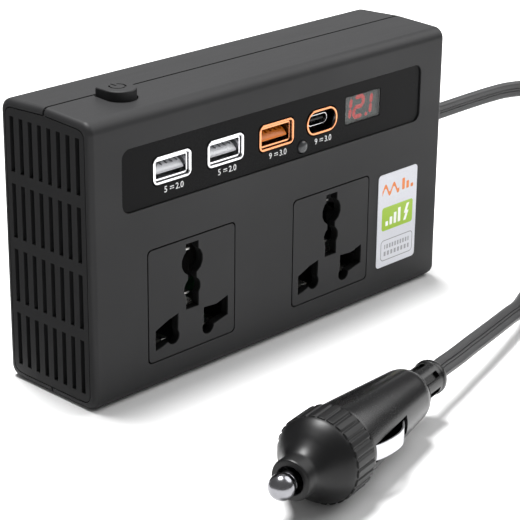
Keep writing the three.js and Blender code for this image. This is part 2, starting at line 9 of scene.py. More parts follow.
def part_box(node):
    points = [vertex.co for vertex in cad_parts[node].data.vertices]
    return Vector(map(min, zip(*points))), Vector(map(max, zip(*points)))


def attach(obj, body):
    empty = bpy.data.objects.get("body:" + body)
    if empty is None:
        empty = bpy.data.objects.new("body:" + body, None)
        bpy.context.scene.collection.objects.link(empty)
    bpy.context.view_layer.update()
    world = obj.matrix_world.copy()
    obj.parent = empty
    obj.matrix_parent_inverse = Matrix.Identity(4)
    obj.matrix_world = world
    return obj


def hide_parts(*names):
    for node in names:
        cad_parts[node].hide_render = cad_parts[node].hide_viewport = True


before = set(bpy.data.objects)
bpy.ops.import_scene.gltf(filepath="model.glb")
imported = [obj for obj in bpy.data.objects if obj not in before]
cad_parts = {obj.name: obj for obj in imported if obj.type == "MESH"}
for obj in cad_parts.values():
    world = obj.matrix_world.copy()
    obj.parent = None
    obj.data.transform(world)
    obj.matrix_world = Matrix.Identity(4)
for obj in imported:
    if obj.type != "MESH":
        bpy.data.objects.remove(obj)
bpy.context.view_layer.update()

bl_info = {
    "name": "Power inverter",
    "version": (1, 0, 0),
    "blender": (4, 5, 0),
    "location": "3D View > Sidebar > Inverter",
    "description": "Builds the detailed pieces of a power inverter round its solids",
    "category": "Add Mesh",
}

MM = 0.001
GAP = 0.3


def tone(red, green, blue):
    """A screen colour from 0 to 255 as scene-linear RGBA."""
    def linear(value):
        share = value / 255
        return share / 12.92 if share <= 0.04045 else ((share + 0.055) / 1.055) ** 2.4

    return (linear(red), linear(green), linear(blue), 1.0)


def span(node):
    """A node's lowest and highest corners in millimetres."""
    low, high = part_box(node)
    return low / MM, high / MM


def middle(node):
    low, high = span(node)
    return (low + high) / 2, high - low


# ------------------------------------------------------------------ settings

def size(name, value, description):
    return FloatProperty(name=name, description=description, default=value * MM, unit="LENGTH", subtype="DISTANCE")


def colour(name, value, description):
    return FloatVectorProperty(
        name=name, description=description, default=tone(*value), size=4, min=0, max=1, subtype="COLOR"
    )


class CaseSettings(bpy.types.PropertyGroup):
    """Shape of the case halves"""
    fillet: size("Long edge radius", 4.0, "Radius of the four long edges")
    rim: size("End edge radius", 2.0, "Radius of the edges round both ends")
    wall: size("Wall", 2.3, "Thickness of the moulding")
    lip: size("Opening edge", 0.16, "Rounding of the edges round each opening")
    steps: IntProperty(name="Steps", description="Segments in each rounded edge", default=8, min=2, max=16)


class LeadSettings(bpy.types.PropertyGroup):
    """Shape of the flat twin lead"""
    width: size("Width", 6.5, "Width of the lead across both cores")
    thickness: size("Thickness", 3.3, "Thickness of the lead through one core")
    coil_radius: size("Coil radius", 36.0, "Radius of the stored turns at their middle")


class PlugSettings(bpy.types.PropertyGroup):
    """Shape of the car plug"""
    notches: IntProperty(name="Notches", description="Grip notches round the ring", default=28, min=6, max=40)
    notch_depth: size("Notch depth", 0.45, "Depth of each grip notch")


class FinishSettings(bpy.types.PropertyGroup):
    """Colours of the main finishes"""
    shell: colour("Case plastic", (38, 38, 39), "Moulded case")
    grille: colour("Grille", (32, 32, 33), "End grilles")
    panel: colour("Panel", (12, 12, 13), "Port panel")
    plug: colour("Plug", (12, 12, 13), "Plug mouldings")
    lead: colour("Lead", (44, 44, 45), "Insulation of the lead")
    green: colour("Label green", (158, 196, 30), "Patch on the label")
    orange: colour("Orange", (228, 122, 20), "Fast port and label wave")


class InverterSettings(bpy.types.PropertyGroup):
    case: PointerProperty(type=CaseSettings)
    lead: PointerProperty(type=LeadSettings)
    plug: PointerProperty(type=PlugSettings)
    finish: PointerProperty(type=FinishSettings)


def settings():
    return bpy.context.scene.inverter


# ------------------------------------------------------------------ finishes

class Value:
    """A socket in a material: arithmetic on it adds Math nodes."""

    def __init__(self, finish, socket):
        self.finish = finish
        self.socket = socket

    def math(self, operation, *others, clamp=False):
        return self.finish.math(operation, self, *others, clamp=clamp)

    def __add__(self, other):
        return self.math("ADD", other)

    def __sub__(self, other):
        return self.math("SUBTRACT", other)

    def __rsub__(self, other):
        return self.finish.math("SUBTRACT", other, self)

    def __mul__(self, other):
        return self.math("MULTIPLY", other)

    def __truediv__(self, other):
        return self.math("DIVIDE", other)

    def __neg__(self):
        return self.math("MULTIPLY", -1)

    __radd__ = __add__
    __rmul__ = __mul__

    def lowest(self, other):
        return self.math("MINIMUM", other)

    def highest(self, other):
        return self.math("MAXIMUM", other)

    def absolute(self):
        return self.math("ABSOLUTE")

    def below(self, edge, blur):
        """1 where the value is under the edge, falling to 0 over the blur."""
        return ((edge - self) / blur + 0.5).math("MULTIPLY", 1, clamp=True)


class Finish:
    """A procedural material on one Principled shader."""

    def __init__(self, name, **constants):
        self.material = bpy.data.materials.new(name)
        self.material.use_nodes = True
        self.tree = self.material.node_tree
        self.shader = self.tree.nodes["Principled BSDF"]
        for key, value in constants.items():
            self.shader.inputs[key.replace("_", " ")].default_value = value

    def add(self, kind, options=None, inputs=None, output=0):
        node = self.tree.nodes.new(kind)
        for key, value in (options or {}).items():
            if key == "stops":
                ramp = node.color_ramp.elements
                while len(ramp) < len(value):
                    ramp.new(0.5)
                for stop, (place, shade) in zip(ramp, value):
                    stop.position, stop.color = place, shade
            else:
                setattr(node, key, value)
        for key, value in (inputs or {}).items():
            self.feed(node.inputs[key], value)
        return Value(self, node.outputs[output])

    def feed(self, socket, value):
        if isinstance(value, Value):
            self.tree.links.new(value.socket, socket)
        else:
            socket.default_value = value

    def math(self, operation, *values, clamp=False):
        return self.add("ShaderNodeMath", {"operation": operation, "use_clamp": clamp}, dict(enumerate(values)))

    def place(self, scale=(1000, 1000, 1000), centre=(0, 0, 0)):
        """Object position in millimetres from a centre, stretched by a scale."""
        where = self.add("ShaderNodeTexCoord", output="Object")
        shift = [-c * s / 1000 for c, s in zip(centre, scale)]
        return self.add("ShaderNodeMapping", None, {"Vector": where, "Scale": scale, "Location": shift})

    def axes(self, vector):
        return [self.add("ShaderNodeSeparateXYZ", None, {0: vector}, output=name) for name in "XYZ"]

    def noise(self, vector, scale, detail=3, roughness=0.55):
        inputs = {"Vector": vector, "Scale": scale, "Detail": detail, "Roughness": roughness}
        return self.add("ShaderNodeTexNoise", None, inputs, output="Fac")

    def mix(self, share, first, second):
        inputs = {0: share, 6: first, 7: second}
        return self.add("ShaderNodeMix", {"data_type": "RGBA"}, inputs, output=2)

    def mix_values(self, share, first, second):
        return self.add("ShaderNodeMix", {"data_type": "FLOAT"}, {0: share, 2: first, 3: second})

    def spread(self, value, low, high):
        inputs = {"Value": value, "From Min": 0.3, "From Max": 0.7, "To Min": low, "To Max": high}
        return self.add("ShaderNodeMapRange", None, inputs)

    def colour(self, value):
        self.feed(self.shader.inputs["Base Color"], value)

    def rough(self, value):
        self.feed(self.shader.inputs["Roughness"], value)

    def bump(self, height, strength, distance):
        inputs = {"Height": height, "Strength": strength, "Distance": distance}
        self.feed(self.shader.inputs["Normal"], self.add("ShaderNodeBump", None, inputs))


FINISHES = {}


def shaded(base, factor):
    return tuple(min(channel * factor, 1) for channel in base[:3]) + (1.0,)


def moulded(name, base, rough, grain=0.06, grain_size=0.35, contrast=0.16, **constants):
    """Moulded plastic: fine spark grain, faint cloudiness and uneven gloss."""
    f = Finish(name, **constants)
    place = f.place()
    fine = f.noise(place, 1 / grain_size, 2)
    cloud = f.noise(place, 0.03, 4)
    wipe = f.noise(f.place((160, 900, 300)), 0.12, 3)
    f.colour(f.mix(f.spread(cloud * 0.7 + fine * 0.3, 0, 1), shaded(base, 1 - contrast), shaded(base, 1 + contrast)))
    f.rough(f.spread(wipe * 0.6 + fine * 0.4, rough - 0.07, rough + 0.07))
    f.bump(fine, grain, 0.00005)
    return f.material


def shade_painted_in_openings(name, base, rough, face):
    """Moulded plastic with painted shade: it turns black just behind its front face, inside the pin openings, where
    shade falls.
    """
    f = Finish(name, Specular_IOR_Level=0.24)
    place = f.place()
    _, depth, _ = f.axes(place)
    fine = f.noise(place, 2.8, 2)
    cloud = f.noise(place, 0.03, 4)
    front = depth.below(face, 0.3)
    plain = f.mix(f.spread(cloud * 0.7 + fine * 0.3, 0, 1), shaded(base, 0.93), shaded(base, 1.07))
    # Painted shade: where the front share falls to 0, behind the front face, the colour goes black and fully rough.
    f.colour(f.mix(front, (0.0008, 0.0008, 0.0009, 1), plain))
    f.rough(f.mix_values(front, 1.0, f.spread(cloud * 0.6 + fine * 0.4, rough - 0.07, rough + 0.07)))
    f.bump(fine, 0.06, 0.00005)
    return f.material


def plated(name, base, rough, stretch=(1000, 1000, 1000), **constants):
    """Plated or drawn metal: hairline scratches along the least stretched axis and dull patches."""
    f = Finish(name, Metallic=1.0, **constants)
    hair = f.noise(f.place(stretch), 2.2, 5, 0.7)
    dull = f.noise(f.place(), 0.35, 4)
    f.colour(f.mix(f.spread(dull, 0, 1), shaded(base, 0.86), base))
    f.rough(f.spread(hair * 0.45 + dull * 0.55, rough - 0.05, rough + 0.1))
    f.bump(hair, 0.08, 0.00003)
    return f.material


def rubbery(name, base, rough):
    """Flexible insulation: drawn surface with fine dust."""
    f = Finish(name)
    place = f.place()
    fine = f.noise(place, 3.2, 3)
    dust = f.noise(place, 0.18, 5, 0.65)
    f.colour(f.mix(f.spread(dust, 0, 1), shaded(base, 0.86), shaded(base, 1.22)))
    f.rough(f.spread(fine * 0.5 + dust * 0.5, rough - 0.08, rough + 0.1))
    f.bump(fine, 0.12, 0.00006)
    return f.material


def woven(name, base, pitch):
    """Strap fabric: crossed threads in the strap's own directions."""
    f = Finish(name, Roughness=0.9)
    x, y, z = f.axes(f.place())
    turn = 2 * math.pi / pitch
    warp = f.math("SINE", x * turn)
    weft = f.math("SINE", (y + z) * turn)
    thread = (warp * weft) * 0.5 + 0.5
    fuzz = f.noise(f.place(), 4, 3)
    f.colour(f.mix(thread * 0.7 + fuzz * 0.3, shaded(base, 0.5), shaded(base, 1.7)))
    f.bump(thread + fuzz * 0.4, 0.5, 0.00015)
    return f.material


def laminate(name, base):
    """Circuit board: solder mask over tracks and pads."""
    f = Finish(name, Roughness=0.38)
    place = f.place()
    x, _, z = f.axes(place)
    grid = f.noise(place, 0.35, 1)
    tracks = f.math("SINE", x * 2.1 + grid * 9).highest(f.math("SINE", z * 1.7 + grid * 11))
    copper = tracks.below(0.86, 0.1)
    pads = f.add("ShaderNodeTexVoronoi", None, {"Vector": place, "Scale": 0.26}).below(0.16, 0.04)
    mask = f.mix(copper, shaded(base, 1.9), base)
    f.colour(f.mix(pads, mask, tone(186, 188, 190)))
    f.bump(tracks, 0.2, 0.00004)
    return f.material


def wound(name, base):
    """Enamelled wire laid in turns round the core, with painted shade in the valleys between the turns."""
    f = Finish(name, Metallic=0.85)
    _, _, z = f.axes(f.place())
    turns = f.math("ABSOLUTE", f.math("SINE", z * math.pi / 0.9))
    patch = f.noise(f.place(), 0.3, 4)
    # Painted shade: the colour goes dark in the valleys between turns and lighter on their crowns; the patches add
    # uneven tone.
    f.colour(f.mix(turns * 0.6 + patch * 0.4, shaded(base, 0.35), shaded(base, 1.2)))
    f.rough(0.5 - turns * 0.2)
    f.bump(turns, 0.7, 0.0002)
    return f.material


def sleeve_glass(name, base):
    """Glass tube with a wire inside and a pale bloom."""
    f = Finish(name, Roughness=0.06, IOR=1.47)
    bloom = f.noise(f.place(), 0.5, 4)
    f.colour(f.mix(bloom, shaded(base, 0.8), base))
    f.feed(f.shader.inputs["Alpha"], f.spread(bloom, 0.25, 0.45))
    return f.material


def smoked(name, base, alpha, rough):
    """Tinted clear plastic with faint wiping marks."""
    f = Finish(name, Alpha=alpha, Coat_Weight=0.6, Coat_Roughness=0.08)
    haze = f.noise(f.place((200, 1000, 700)), 0.4, 4)
    f.colour(f.mix(haze, shaded(base, 0.85), shaded(base, 1.15)))
    f.rough(f.spread(haze, rough - 0.05, rough + 0.08))
    return f.material


def glowing(name, base, strength):
    """Lit display segments, a little uneven along their length."""
    f = Finish(name, Roughness=0.4, Emission_Strength=strength)
    uneven = f.noise(f.place(), 0.9, 2)
    shade = f.mix(f.spread(uneven, 0, 1), shaded(base, 0.75), base)
    f.colour(shade)
    f.feed(f.shader.inputs["Emission Color"], shade)
    return f.material


def box_shape(f, x, z, centre, half, corner):
    """Signed distance in millimetres from a rounded box on the label."""
    across = ((x - centre[0]).absolute() - (half[0] - corner)).highest(0)
    up = ((z - centre[1]).absolute() - (half[1] - corner)).highest(0)
    return f.math("SQRT", across * across + up * up) - corner


def printed_label(name, centre):
    """White film printed with an orange wave, a green patch with rising bars and a bolt, and a grey frame."""
    f = Finish(name, Coat_Weight=0.35, Coat_Roughness=0.2)
    finish = settings().finish
    x, _, z = f.axes(f.place(centre=centre))
    blur = 0.12
    paper = f.mix(f.noise(f.place(), 1.4, 3), tone(212, 213, 220), tone(224, 225, 232))

    wave = (z - 11.6 - f.math("SINE", (x + 3.4) * 1.35) * 1.55).absolute()
    wave = wave.below(0.85, blur) * (x + 3.9).absolute().below(4.7, blur)
    dots = [((7.9 - step * 2.4, 10.5 + 0.75 * step), (0.75, 0.7 + 0.75 * step)) for step in range(3)]
    mark = wave
    for spot, half in dots:
        mark = mark.highest(box_shape(f, x, z, (spot[0], spot[1]), half, 0.4).below(0, blur))

    patch = box_shape(f, x, z, (0.2, 0.6), (8.6, 4.5), 1.1).below(0, blur)
    light = None
    for step in range(4):
        tall = 0.9 + step * 0.62
        bar = box_shape(f, x, z, (-5.6 + step * 2.3, -2.2 + tall), (0.75, tall), 0.3).below(0, blur)
        light = bar if light is None else light.highest(bar)
    upper = (x - 5.3 - (z - 2.0) * 0.42).absolute().below(0.72, blur) * (z - 2.2).absolute().below(1.75, blur)
    lower = (x - 5.1 - (z + 0.8) * 0.42).absolute().below(0.72, blur) * (z + 0.7).absolute().below(1.75, blur)
    bolt = upper.highest(lower.highest((x - 5.2).absolute().below(1.15, blur) * (z - 0.7).absolute().below(0.42, blur)))
    light = light.highest(bolt)

    frame_shape = box_shape(f, x, z, (0.4, -11.6), (8.8, 3.9), 1.5)
    rule = frame_shape.absolute().below(0.14, blur)
    rows = None
    for height, reach, pitch in ((-10.3, 6.9, 1.5), (-13.0, 7.1, 1.9)):
        dash = f.math("SINE", x * (2 * math.pi / pitch)).below(0.25, 0.35)
        row = (z - height).absolute().below(0.85, blur) * (x - 0.4).absolute().below(reach, blur) * dash
        rows = row if rows is None else rows.highest(row)

    ink = f.mix(mark, paper, finish.orange)
    ink = f.mix(patch, ink, finish.green)
    ink = f.mix(patch * light, ink, tone(250, 252, 244))
    ink = f.mix(rule, ink, tone(120, 122, 126))
    f.colour(f.mix(rows * 0.75, ink, tone(120, 122, 126)))
    f.rough(f.spread(f.noise(f.place(), 2, 3), 0.3, 0.45))
    f.bump(f.noise(f.place(), 1.1, 2), 0.05, 0.00005)
    return f.material


def make_finishes():
    chosen = settings().finish
    label_low, label_high = span("rating_label")
    FINISHES.update({
        "shell": moulded("Case plastic", chosen.shell, 0.5, contrast=0.07, Specular_IOR_Level=0.24),
        # The outlet plates' finish paints shade inside the pin openings.
        "plate": shade_painted_in_openings("Outlet plate plastic with painted shade in openings", chosen.shell, 0.5, -20.9),
        "grille": moulded("Grille plastic", chosen.grille, 0.55, contrast=0.08, Specular_IOR_Level=0.25),
        "panel": moulded("Panel plastic", chosen.panel, 0.3, grain=0.02, contrast=0.1, Specular_IOR_Level=0.06),
        "plug": moulded("Plug plastic", chosen.plug, 0.4, grain=0.03, contrast=0.12, Specular_IOR_Level=0.28),
        "barrel": moulded("Barrel plastic", chosen.plug, 0.27, grain=0.03, contrast=0.12, Specular_IOR_Level=0.4),
        "pin": plated("Pin plating", tone(146, 146, 150), 0.17),
        "leaf": plated("Spring plating", tone(196, 196, 200), 0.16),
        "black": moulded("Black plastic", tone(22, 22, 23), 0.5),
        "grey": moulded("Grey plastic", tone(188, 189, 192), 0.32, Metallic=0.35),
        "orange": moulded("Orange plastic", chosen.orange, 0.35),
        "lamp": moulded("Lamp lens", tone(58, 59, 61), 0.32, grain=0.02, Coat_Weight=0.15),
        "print": moulded("White print", tone(238, 238, 240), 0.5),
        "backing": moulded("Display backing", tone(78, 84, 82), 0.55),
        "ferrite": moulded("Ferrite", tone(58, 56, 54), 0.6, grain=0.2),
        "chrome": plated("Nickel plating", tone(236, 236, 238), 0.12),
        "steel": plated("Zinc-plated steel", tone(176, 178, 182), 0.3),
        "copper": plated("Copper plating", tone(232, 158, 112), 0.16),
        "brass": plated("Tinned brass strip", tone(196, 196, 192), 0.26),
        "aluminium": plated("Extruded aluminium", tone(172, 175, 178), 0.32, (1000, 1000, 40)),
        "lead": rubbery("Lead insulation", chosen.lead, 0.42),
        "strap": woven("Strap fabric", tone(30, 30, 32), 0.9),
        "board": laminate("Board laminate", tone(26, 84, 48)),
        "winding": wound("Copper winding", tone(190, 108, 48)),
        "glass": sleeve_glass("Fuse glass", tone(222, 230, 232)),
        "window": smoked("Smoked window", tone(58, 64, 62), 0.4, 0.25),
        "segments": glowing("Display segments", tone(235, 40, 40), 1.0),
        "label": printed_label("Printed label", (label_low + label_high) / 2),
    })


# ------------------------------------------------------------------ shapes, in millimetres

FLAT = {"x": (1, 2), "y": (0, 2), "z": (0, 1)}


def prism(axis, points, low, high):
    """An outline in the other two axes, drawn out along one axis."""
    bm = bmesh.new()
    along = "xyz".index(axis)
    corners = []
    for first, second in points:
        corner = Vector((0, 0, 0))
        corner[FLAT[axis][0]], corner[FLAT[axis][1]], corner[along] = first, second, low
        corners.append(bm.verts.new(corner))
    face = bm.faces.new(corners)
    grown = bmesh.ops.extrude_face_region(bm, geom=[face])["geom"]
    step = Vector((0, 0, 0))
    step[along] = high - low
    bmesh.ops.translate(bm, vec=step, verts=[v for v in grown if isinstance(v, bmesh.types.BMVert)])
    bmesh.ops.recalc_face_normals(bm, faces=bm.faces)
    return bm


def arc(x, y, radius, start, stop, steps):
    """Points on an arc, with its ends in degrees."""
    turns = [math.radians(start + (stop - start) * i / steps) for i in range(steps + 1)]
    return [(x + radius * math.cos(t), y + radius * math.sin(t)) for t in turns]


def rounded(x, y, width, height, radius, steps=6):
    """A rectangle with rounded corners."""
    w, h = width / 2 - radius, height / 2 - radius
    corners = ((w, h, 0), (-w, h, 90), (-w, -h, 180), (w, -h, 270))
    return [p for cx, cy, turn in corners for p in arc(x + cx, y + cy, radius, turn, turn + 90, steps)]


def block(low, high):
    return prism("z", [(low[0], low[1]), (high[0], low[1]), (high[0], high[1]), (low[0], high[1])], low[2], high[2])


def rod(axis, x, y, radius, low, high, steps=32):
    return prism(axis, arc(x, y, radius, 0, 360 * (1 - 1 / steps), steps - 1), low, high)


def turned(profile, steps=64):
    """A shape of revolution about Z from pairs of radius and height."""
    bm = bmesh.new()
    points = [bm.verts.new((radius, 0, height)) for radius, height in profile]
    edges = [bm.edges.new(pair) for pair in zip(points, points[1:])]
    if (Vector(profile[0]) - Vector(profile[-1])).length > 1e-6 and profile[0][0] > 0 and profile[-1][0] > 0:
        edges.append(bm.edges.new((points[-1], points[0])))
    bmesh.ops.spin(
        bm, geom=points + edges, cent=(0, 0, 0), axis=(0, 0, 1), angle=2 * math.pi, steps=steps, use_merge=True
    )
    bmesh.ops.remove_doubles(bm, verts=bm.verts, dist=1e-4)
    bmesh.ops.recalc_face_normals(bm, faces=bm.faces)
    return bm


def flowing(points, steps=4):
    """A smooth line through pairs of numbers."""
    ends = [points[0], *points, points[-1]]
    line = []
    for a, b, c, d in zip(ends, ends[1:], ends[2:], ends[3:]):
        for i in range(steps):
            t = i / steps
            line.append(tuple(
                0.5 * (2 * q + (r - p) * t + (2 * p - 5 * q + 4 * r - s) * t * t + (3 * q - p - 3 * r + s) * t ** 3)
                for p, q, r, s in zip(a, b, c, d)
            ))
    return [*line, tuple(points[-1])]


def as_object(bm, name):
    mesh = bpy.data.meshes.new(name)
    bm.to_mesh(mesh)
    bm.free()
    made = bpy.data.objects.new(name, mesh)
    bpy.context.scene.collection.objects.link(made)
    return made


def together(shapes):
    """Several shapes in one bmesh, not joined."""
    bm = bmesh.new()
    for shape in shapes:
        mesh = bpy.data.meshes.new("part")
        shape.to_mesh(mesh)
        shape.free()
        bm.from_mesh(mesh)
        bpy.data.meshes.remove(mesh)
    return bm


def carved(bm, tools, operation="DIFFERENCE"):
    """The shape with closed tools cut away from it, or joined to it."""
    body, tool = as_object(bm, "carved"), as_object(together(tools), "tool")
    step = body.modifiers.new("Carve", "BOOLEAN")
    step.operation, step.solver, step.use_self, step.object = operation, "EXACT", True, tool
    result = bmesh.new()
    result.from_object(body, bpy.context.evaluated_depsgraph_get())
    for used in (body, tool):
        mesh = used.data
        bpy.data.objects.remove(used)
        bpy.data.meshes.remove(mesh)
    bmesh.ops.remove_doubles(result, verts=result.verts, dist=1e-4)
    bmesh.ops.dissolve_degenerate(result, edges=result.edges, dist=1e-4)
    return result


def soften(bm, width, steps=2, angle=50, where=None):
    """Rounds the sharp edges, or those that a test picks."""
    sharp = [
        e for e in bm.edges
        if e.is_manifold and e.calc_face_angle() > math.radians(angle) and (where is None or where(e))
    ]
    bmesh.ops.bevel(
        bm, geom=sharp, offset=width, offset_type="OFFSET", segments=steps, profile=0.5,
        affect="EDGES", clamp_overlap=True, material=-1,
    )
    return bm


def near(value, goal, room=0.01):
    return abs(value - goal) < room


def piece(name, bm, finish, body="case", stands_for=(), place=None, sharp=38):
    """Turns a shape into a finished piece on a body."""
    for face in bm.faces:
        face.smooth = True
    for edge in bm.edges:
        edge.smooth = edge.calc_face_angle(0) < math.radians(sharp)
    if place is not None:
        bmesh.ops.transform(bm, matrix=place, verts=bm.verts)
    bmesh.ops.scale(bm, vec=(MM, MM, MM), verts=bm.verts)
    made = as_object(bm, name)
    made.data.materials.append(FINISHES[finish])
    evened = made.modifiers.new("Even shading", "WEIGHTED_NORMAL")
    evened.keep_sharp = True
    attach(made, body)
    if stands_for:
        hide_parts(*stands_for)
    return made


def bare_copy(node):
    """A node's solid in millimetres, welded and freed of flat seams."""
    bm = bmesh.new()
    bm.from_mesh(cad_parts[node].data)
    bmesh.ops.scale(bm, vec=(1 / MM,) * 3, verts=bm.verts)
    bmesh.ops.remove_doubles(bm, verts=bm.verts, dist=0.003)
    bmesh.ops.dissolve_limit(bm, angle_limit=math.radians(1), verts=bm.verts, edges=bm.edges)
    return bm


def coat(node, finish):
    """Gives a node that is shown as it is its finish."""
    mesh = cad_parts[node].data
    mesh.materials.clear()
    mesh.materials.append(FINISHES[finish])


class PieceOperator:
    bl_options = {"REGISTER", "UNDO"}

    def execute(self, context):
        self.build()
        return {"FINISHED"}


# ------------------------------------------------------------------ camera

FOCAL_SHARE = 1857.39 / 520
SENSOR = 36.0
CAMERA_TURN, CAMERA_RISE, CAMERA_ROLL = (math.radians(a) for a in (-46.181, 21.546, 0.665))
CAMERA_PLACE = (-0.43272, -0.42669, 0.26346)


class INVERTER_OT_camera(PieceOperator, bpy.types.Operator):
    """Places the camera"""
    bl_idname = "inverter.camera"
    bl_label = "Camera"

    def build(self):
        data = bpy.data.cameras.new("Camera")
        data.sensor_width = SENSOR
        data.lens = FOCAL_SHARE * SENSOR
        camera = bpy.data.objects.new("Camera", data)
        bpy.context.scene.collection.objects.link(camera)
        turn, rise, roll = CAMERA_TURN, CAMERA_RISE, CAMERA_ROLL
        back = Vector((math.sin(turn) * math.cos(rise), -math.cos(turn) * math.cos(rise), math.sin(rise)))
        right = Vector((math.cos(turn), math.sin(turn), 0))
        up = back.cross(right)
        level_right = right * math.cos(roll) + up * math.sin(roll)
        level_up = up * math.cos(roll) - right * math.sin(roll)
        turn_to = Matrix((level_right, level_up, back)).transposed().to_4x4()
        camera.matrix_world = Matrix.Translation(CAMERA_PLACE) @ turn_to
        bpy.context.scene.camera = camera


# ------------------------------------------------------------------ lead

PLUG_TIP = Vector((-100.55, -114.38, 14.1))
PLUG_HEADING, PLUG_DIP, PLUG_ROLL = (math.radians(a) for a in (11.25, 0.3, -1.3))


def plug_place():
    """The plug's frame: X to one side contact, Z back along the plug from its tip."""
    level = math.cos(PLUG_DIP)
    back = Vector((level * math.cos(PLUG_HEADING), level * math.sin(PLUG_HEADING), -math.sin(PLUG_DIP)))
    towards = Vector((math.sin(PLUG_HEADING), -math.cos(PLUG_HEADING), 0))
    down = towards.cross(back)
    down *= -math.copysign(1, down.z)
    side = (towards * math.cos(PLUG_ROLL) + down * math.sin(PLUG_ROLL)).normalized()
    turn_to = Matrix((side, back.cross(side), back)).transposed().to_4x4()
    return Matrix.Translation(PLUG_TIP) @ turn_to


COIL_CENTRE = Vector((132, -90))
ROUTE_OUT = [
    (104.5, 0, 54.6), (110, 0, 54.6), (118, 0, 54.7), (130, 0, 54.8), (142, -0.1, 54.8), (153, -0.6, 54.5),
    (164, -2, 53.2), (175, -5.5, 50), (184.5, -11.8, 44.5), (190, -20.8, 37), (191, -30.3, 29.5),
    (187.5, -39.4, 22.3), (179.5, -46.8, 16.6), (168.5, -51.6, 12.6), (157.5, -53.6, 10.4), (144, -53.95, 9),
]
ROUTE_BACK = [
    (119, -54.6, 2.2), (112, -55.8, 2.7), (105, -58, 3.3), (97, -61.2, 3.8), (88.5, -64.8, 5), (79, -68.8, 6.5),
    (66.7, -74.5, 7.7), (57.6, -77.3, 8.7), (48.0, -80.2, 9.6), (38.8, -82.9, 10.4), (30.0, -85.4, 11.1),
    (21.5, -87.7, 11.7), (13.2, -90.1, 12.3), (6.1, -92.0, 12.8), (-0.6, -93.7, 13.3), (-7.5, -95.8, 13.6),
    (-13, -96.9, 13.65),
]
COIL_LEVELS = [(90, 8.3), (135, 6.3), (410, 6.3), (450, 5.0), (490, 2.7), (770, 2.7), (810, 1.7)]
LEAD_TILTS = [(0, 90), (0.2, 90), (0.3, 0), (0.8, 0), (0.86, 44), (1.0, 44)]


def between(table, value):
    """A number read off a table of pairs, eased between its rows."""
    for (a, low), (b, high) in zip(table, table[1:]):
        if value <= b:
            share = max(0, (value - a) / (b - a))
            return low + (high - low) * share * share * (3 - 2 * share)
    return table[-1][1]


def lead_route():
    """The lead's centreline: out of the case, two stored turns, and back to the plug."""
    radius = settings().lead.coil_radius / MM
    turns = []
    for step in range(60):
        angle = 90 + step * 720 / 59
        turn = math.radians(angle)
        x, y = COIL_CENTRE.x + radius * math.cos(turn), COIL_CENTRE.y + radius * math.sin(turn)
        turns.append((x, y, between(COIL_LEVELS, angle)))
    return [Vector(p) for p in flowing([*ROUTE_OUT, *turns, *ROUTE_BACK], 5)]


def lead_section(width, thickness):
    """Two round cores side by side with a shallow valley and a central rib between them."""
    lobe = thickness / 2
    reach = width / 2 - lobe
    upper = [(reach * 0.5, lobe * 0.86), (reach * 0.3, lobe * 0.62), (reach * 0.16, lobe * 0.78), (0, lobe * 0.86)]
    right = arc(reach, 0, lobe, -70, 70, 8)
    top = [*upper, *[(-x, y) for x, y in upper[-2::-1]]]
    left = arc(-reach, 0, lobe, 110, 250, 8)
    return [*right, *top, *left, *[(-x, -y) for x, y in top]]


def swept(section, route, tilts):
    """A section carried along a route by extruding its loop, turned about the route by a table of tilts."""
    bm = bmesh.new()
    lengths = [0.0]
    for a, b in zip(route, route[1:]):
        lengths.append(lengths[-1] + (b - a).length)
    frames = []
    for i, point in enumerate(route):
        ahead = (route[min(i + 1, len(route) - 1)] - route[max(i - 1, 0)]).normalized()
        level = ahead.cross(Vector((0, 0, 1))).normalized()
        upward = level.cross(ahead)
        tilt = math.radians(between(tilts, lengths[i] / lengths[-1]))
        wide = level * math.cos(tilt) + upward * math.sin(tilt)
        frames.append(Matrix.Translation(point) @ Matrix((wide, ahead.cross(wide), ahead)).transposed().to_4x4())
    loop = [bm.verts.new(frames[0] @ Vector((x, y, 0))) for x, y in section]
    edges = [bm.edges.new(pair) for pair in zip(loop, [*loop[1:], loop[0]])]
    bm.faces.new(loop)
    for here, there in zip(frames, frames[1:]):
        grown = bmesh.ops.extrude_edge_only(bm, edges=edges)["geom"]
        fresh = [v for v in grown if isinstance(v, bmesh.types.BMVert)]
        edges = [e for e in grown if isinstance(e, bmesh.types.BMEdge)]
        bmesh.ops.transform(bm, matrix=there @ here.inverted(), verts=fresh)
    bmesh.ops.edgeloop_fill(bm, edges=edges)
    bmesh.ops.recalc_face_normals(bm, faces=bm.faces)
    return bm, lengths[-1]


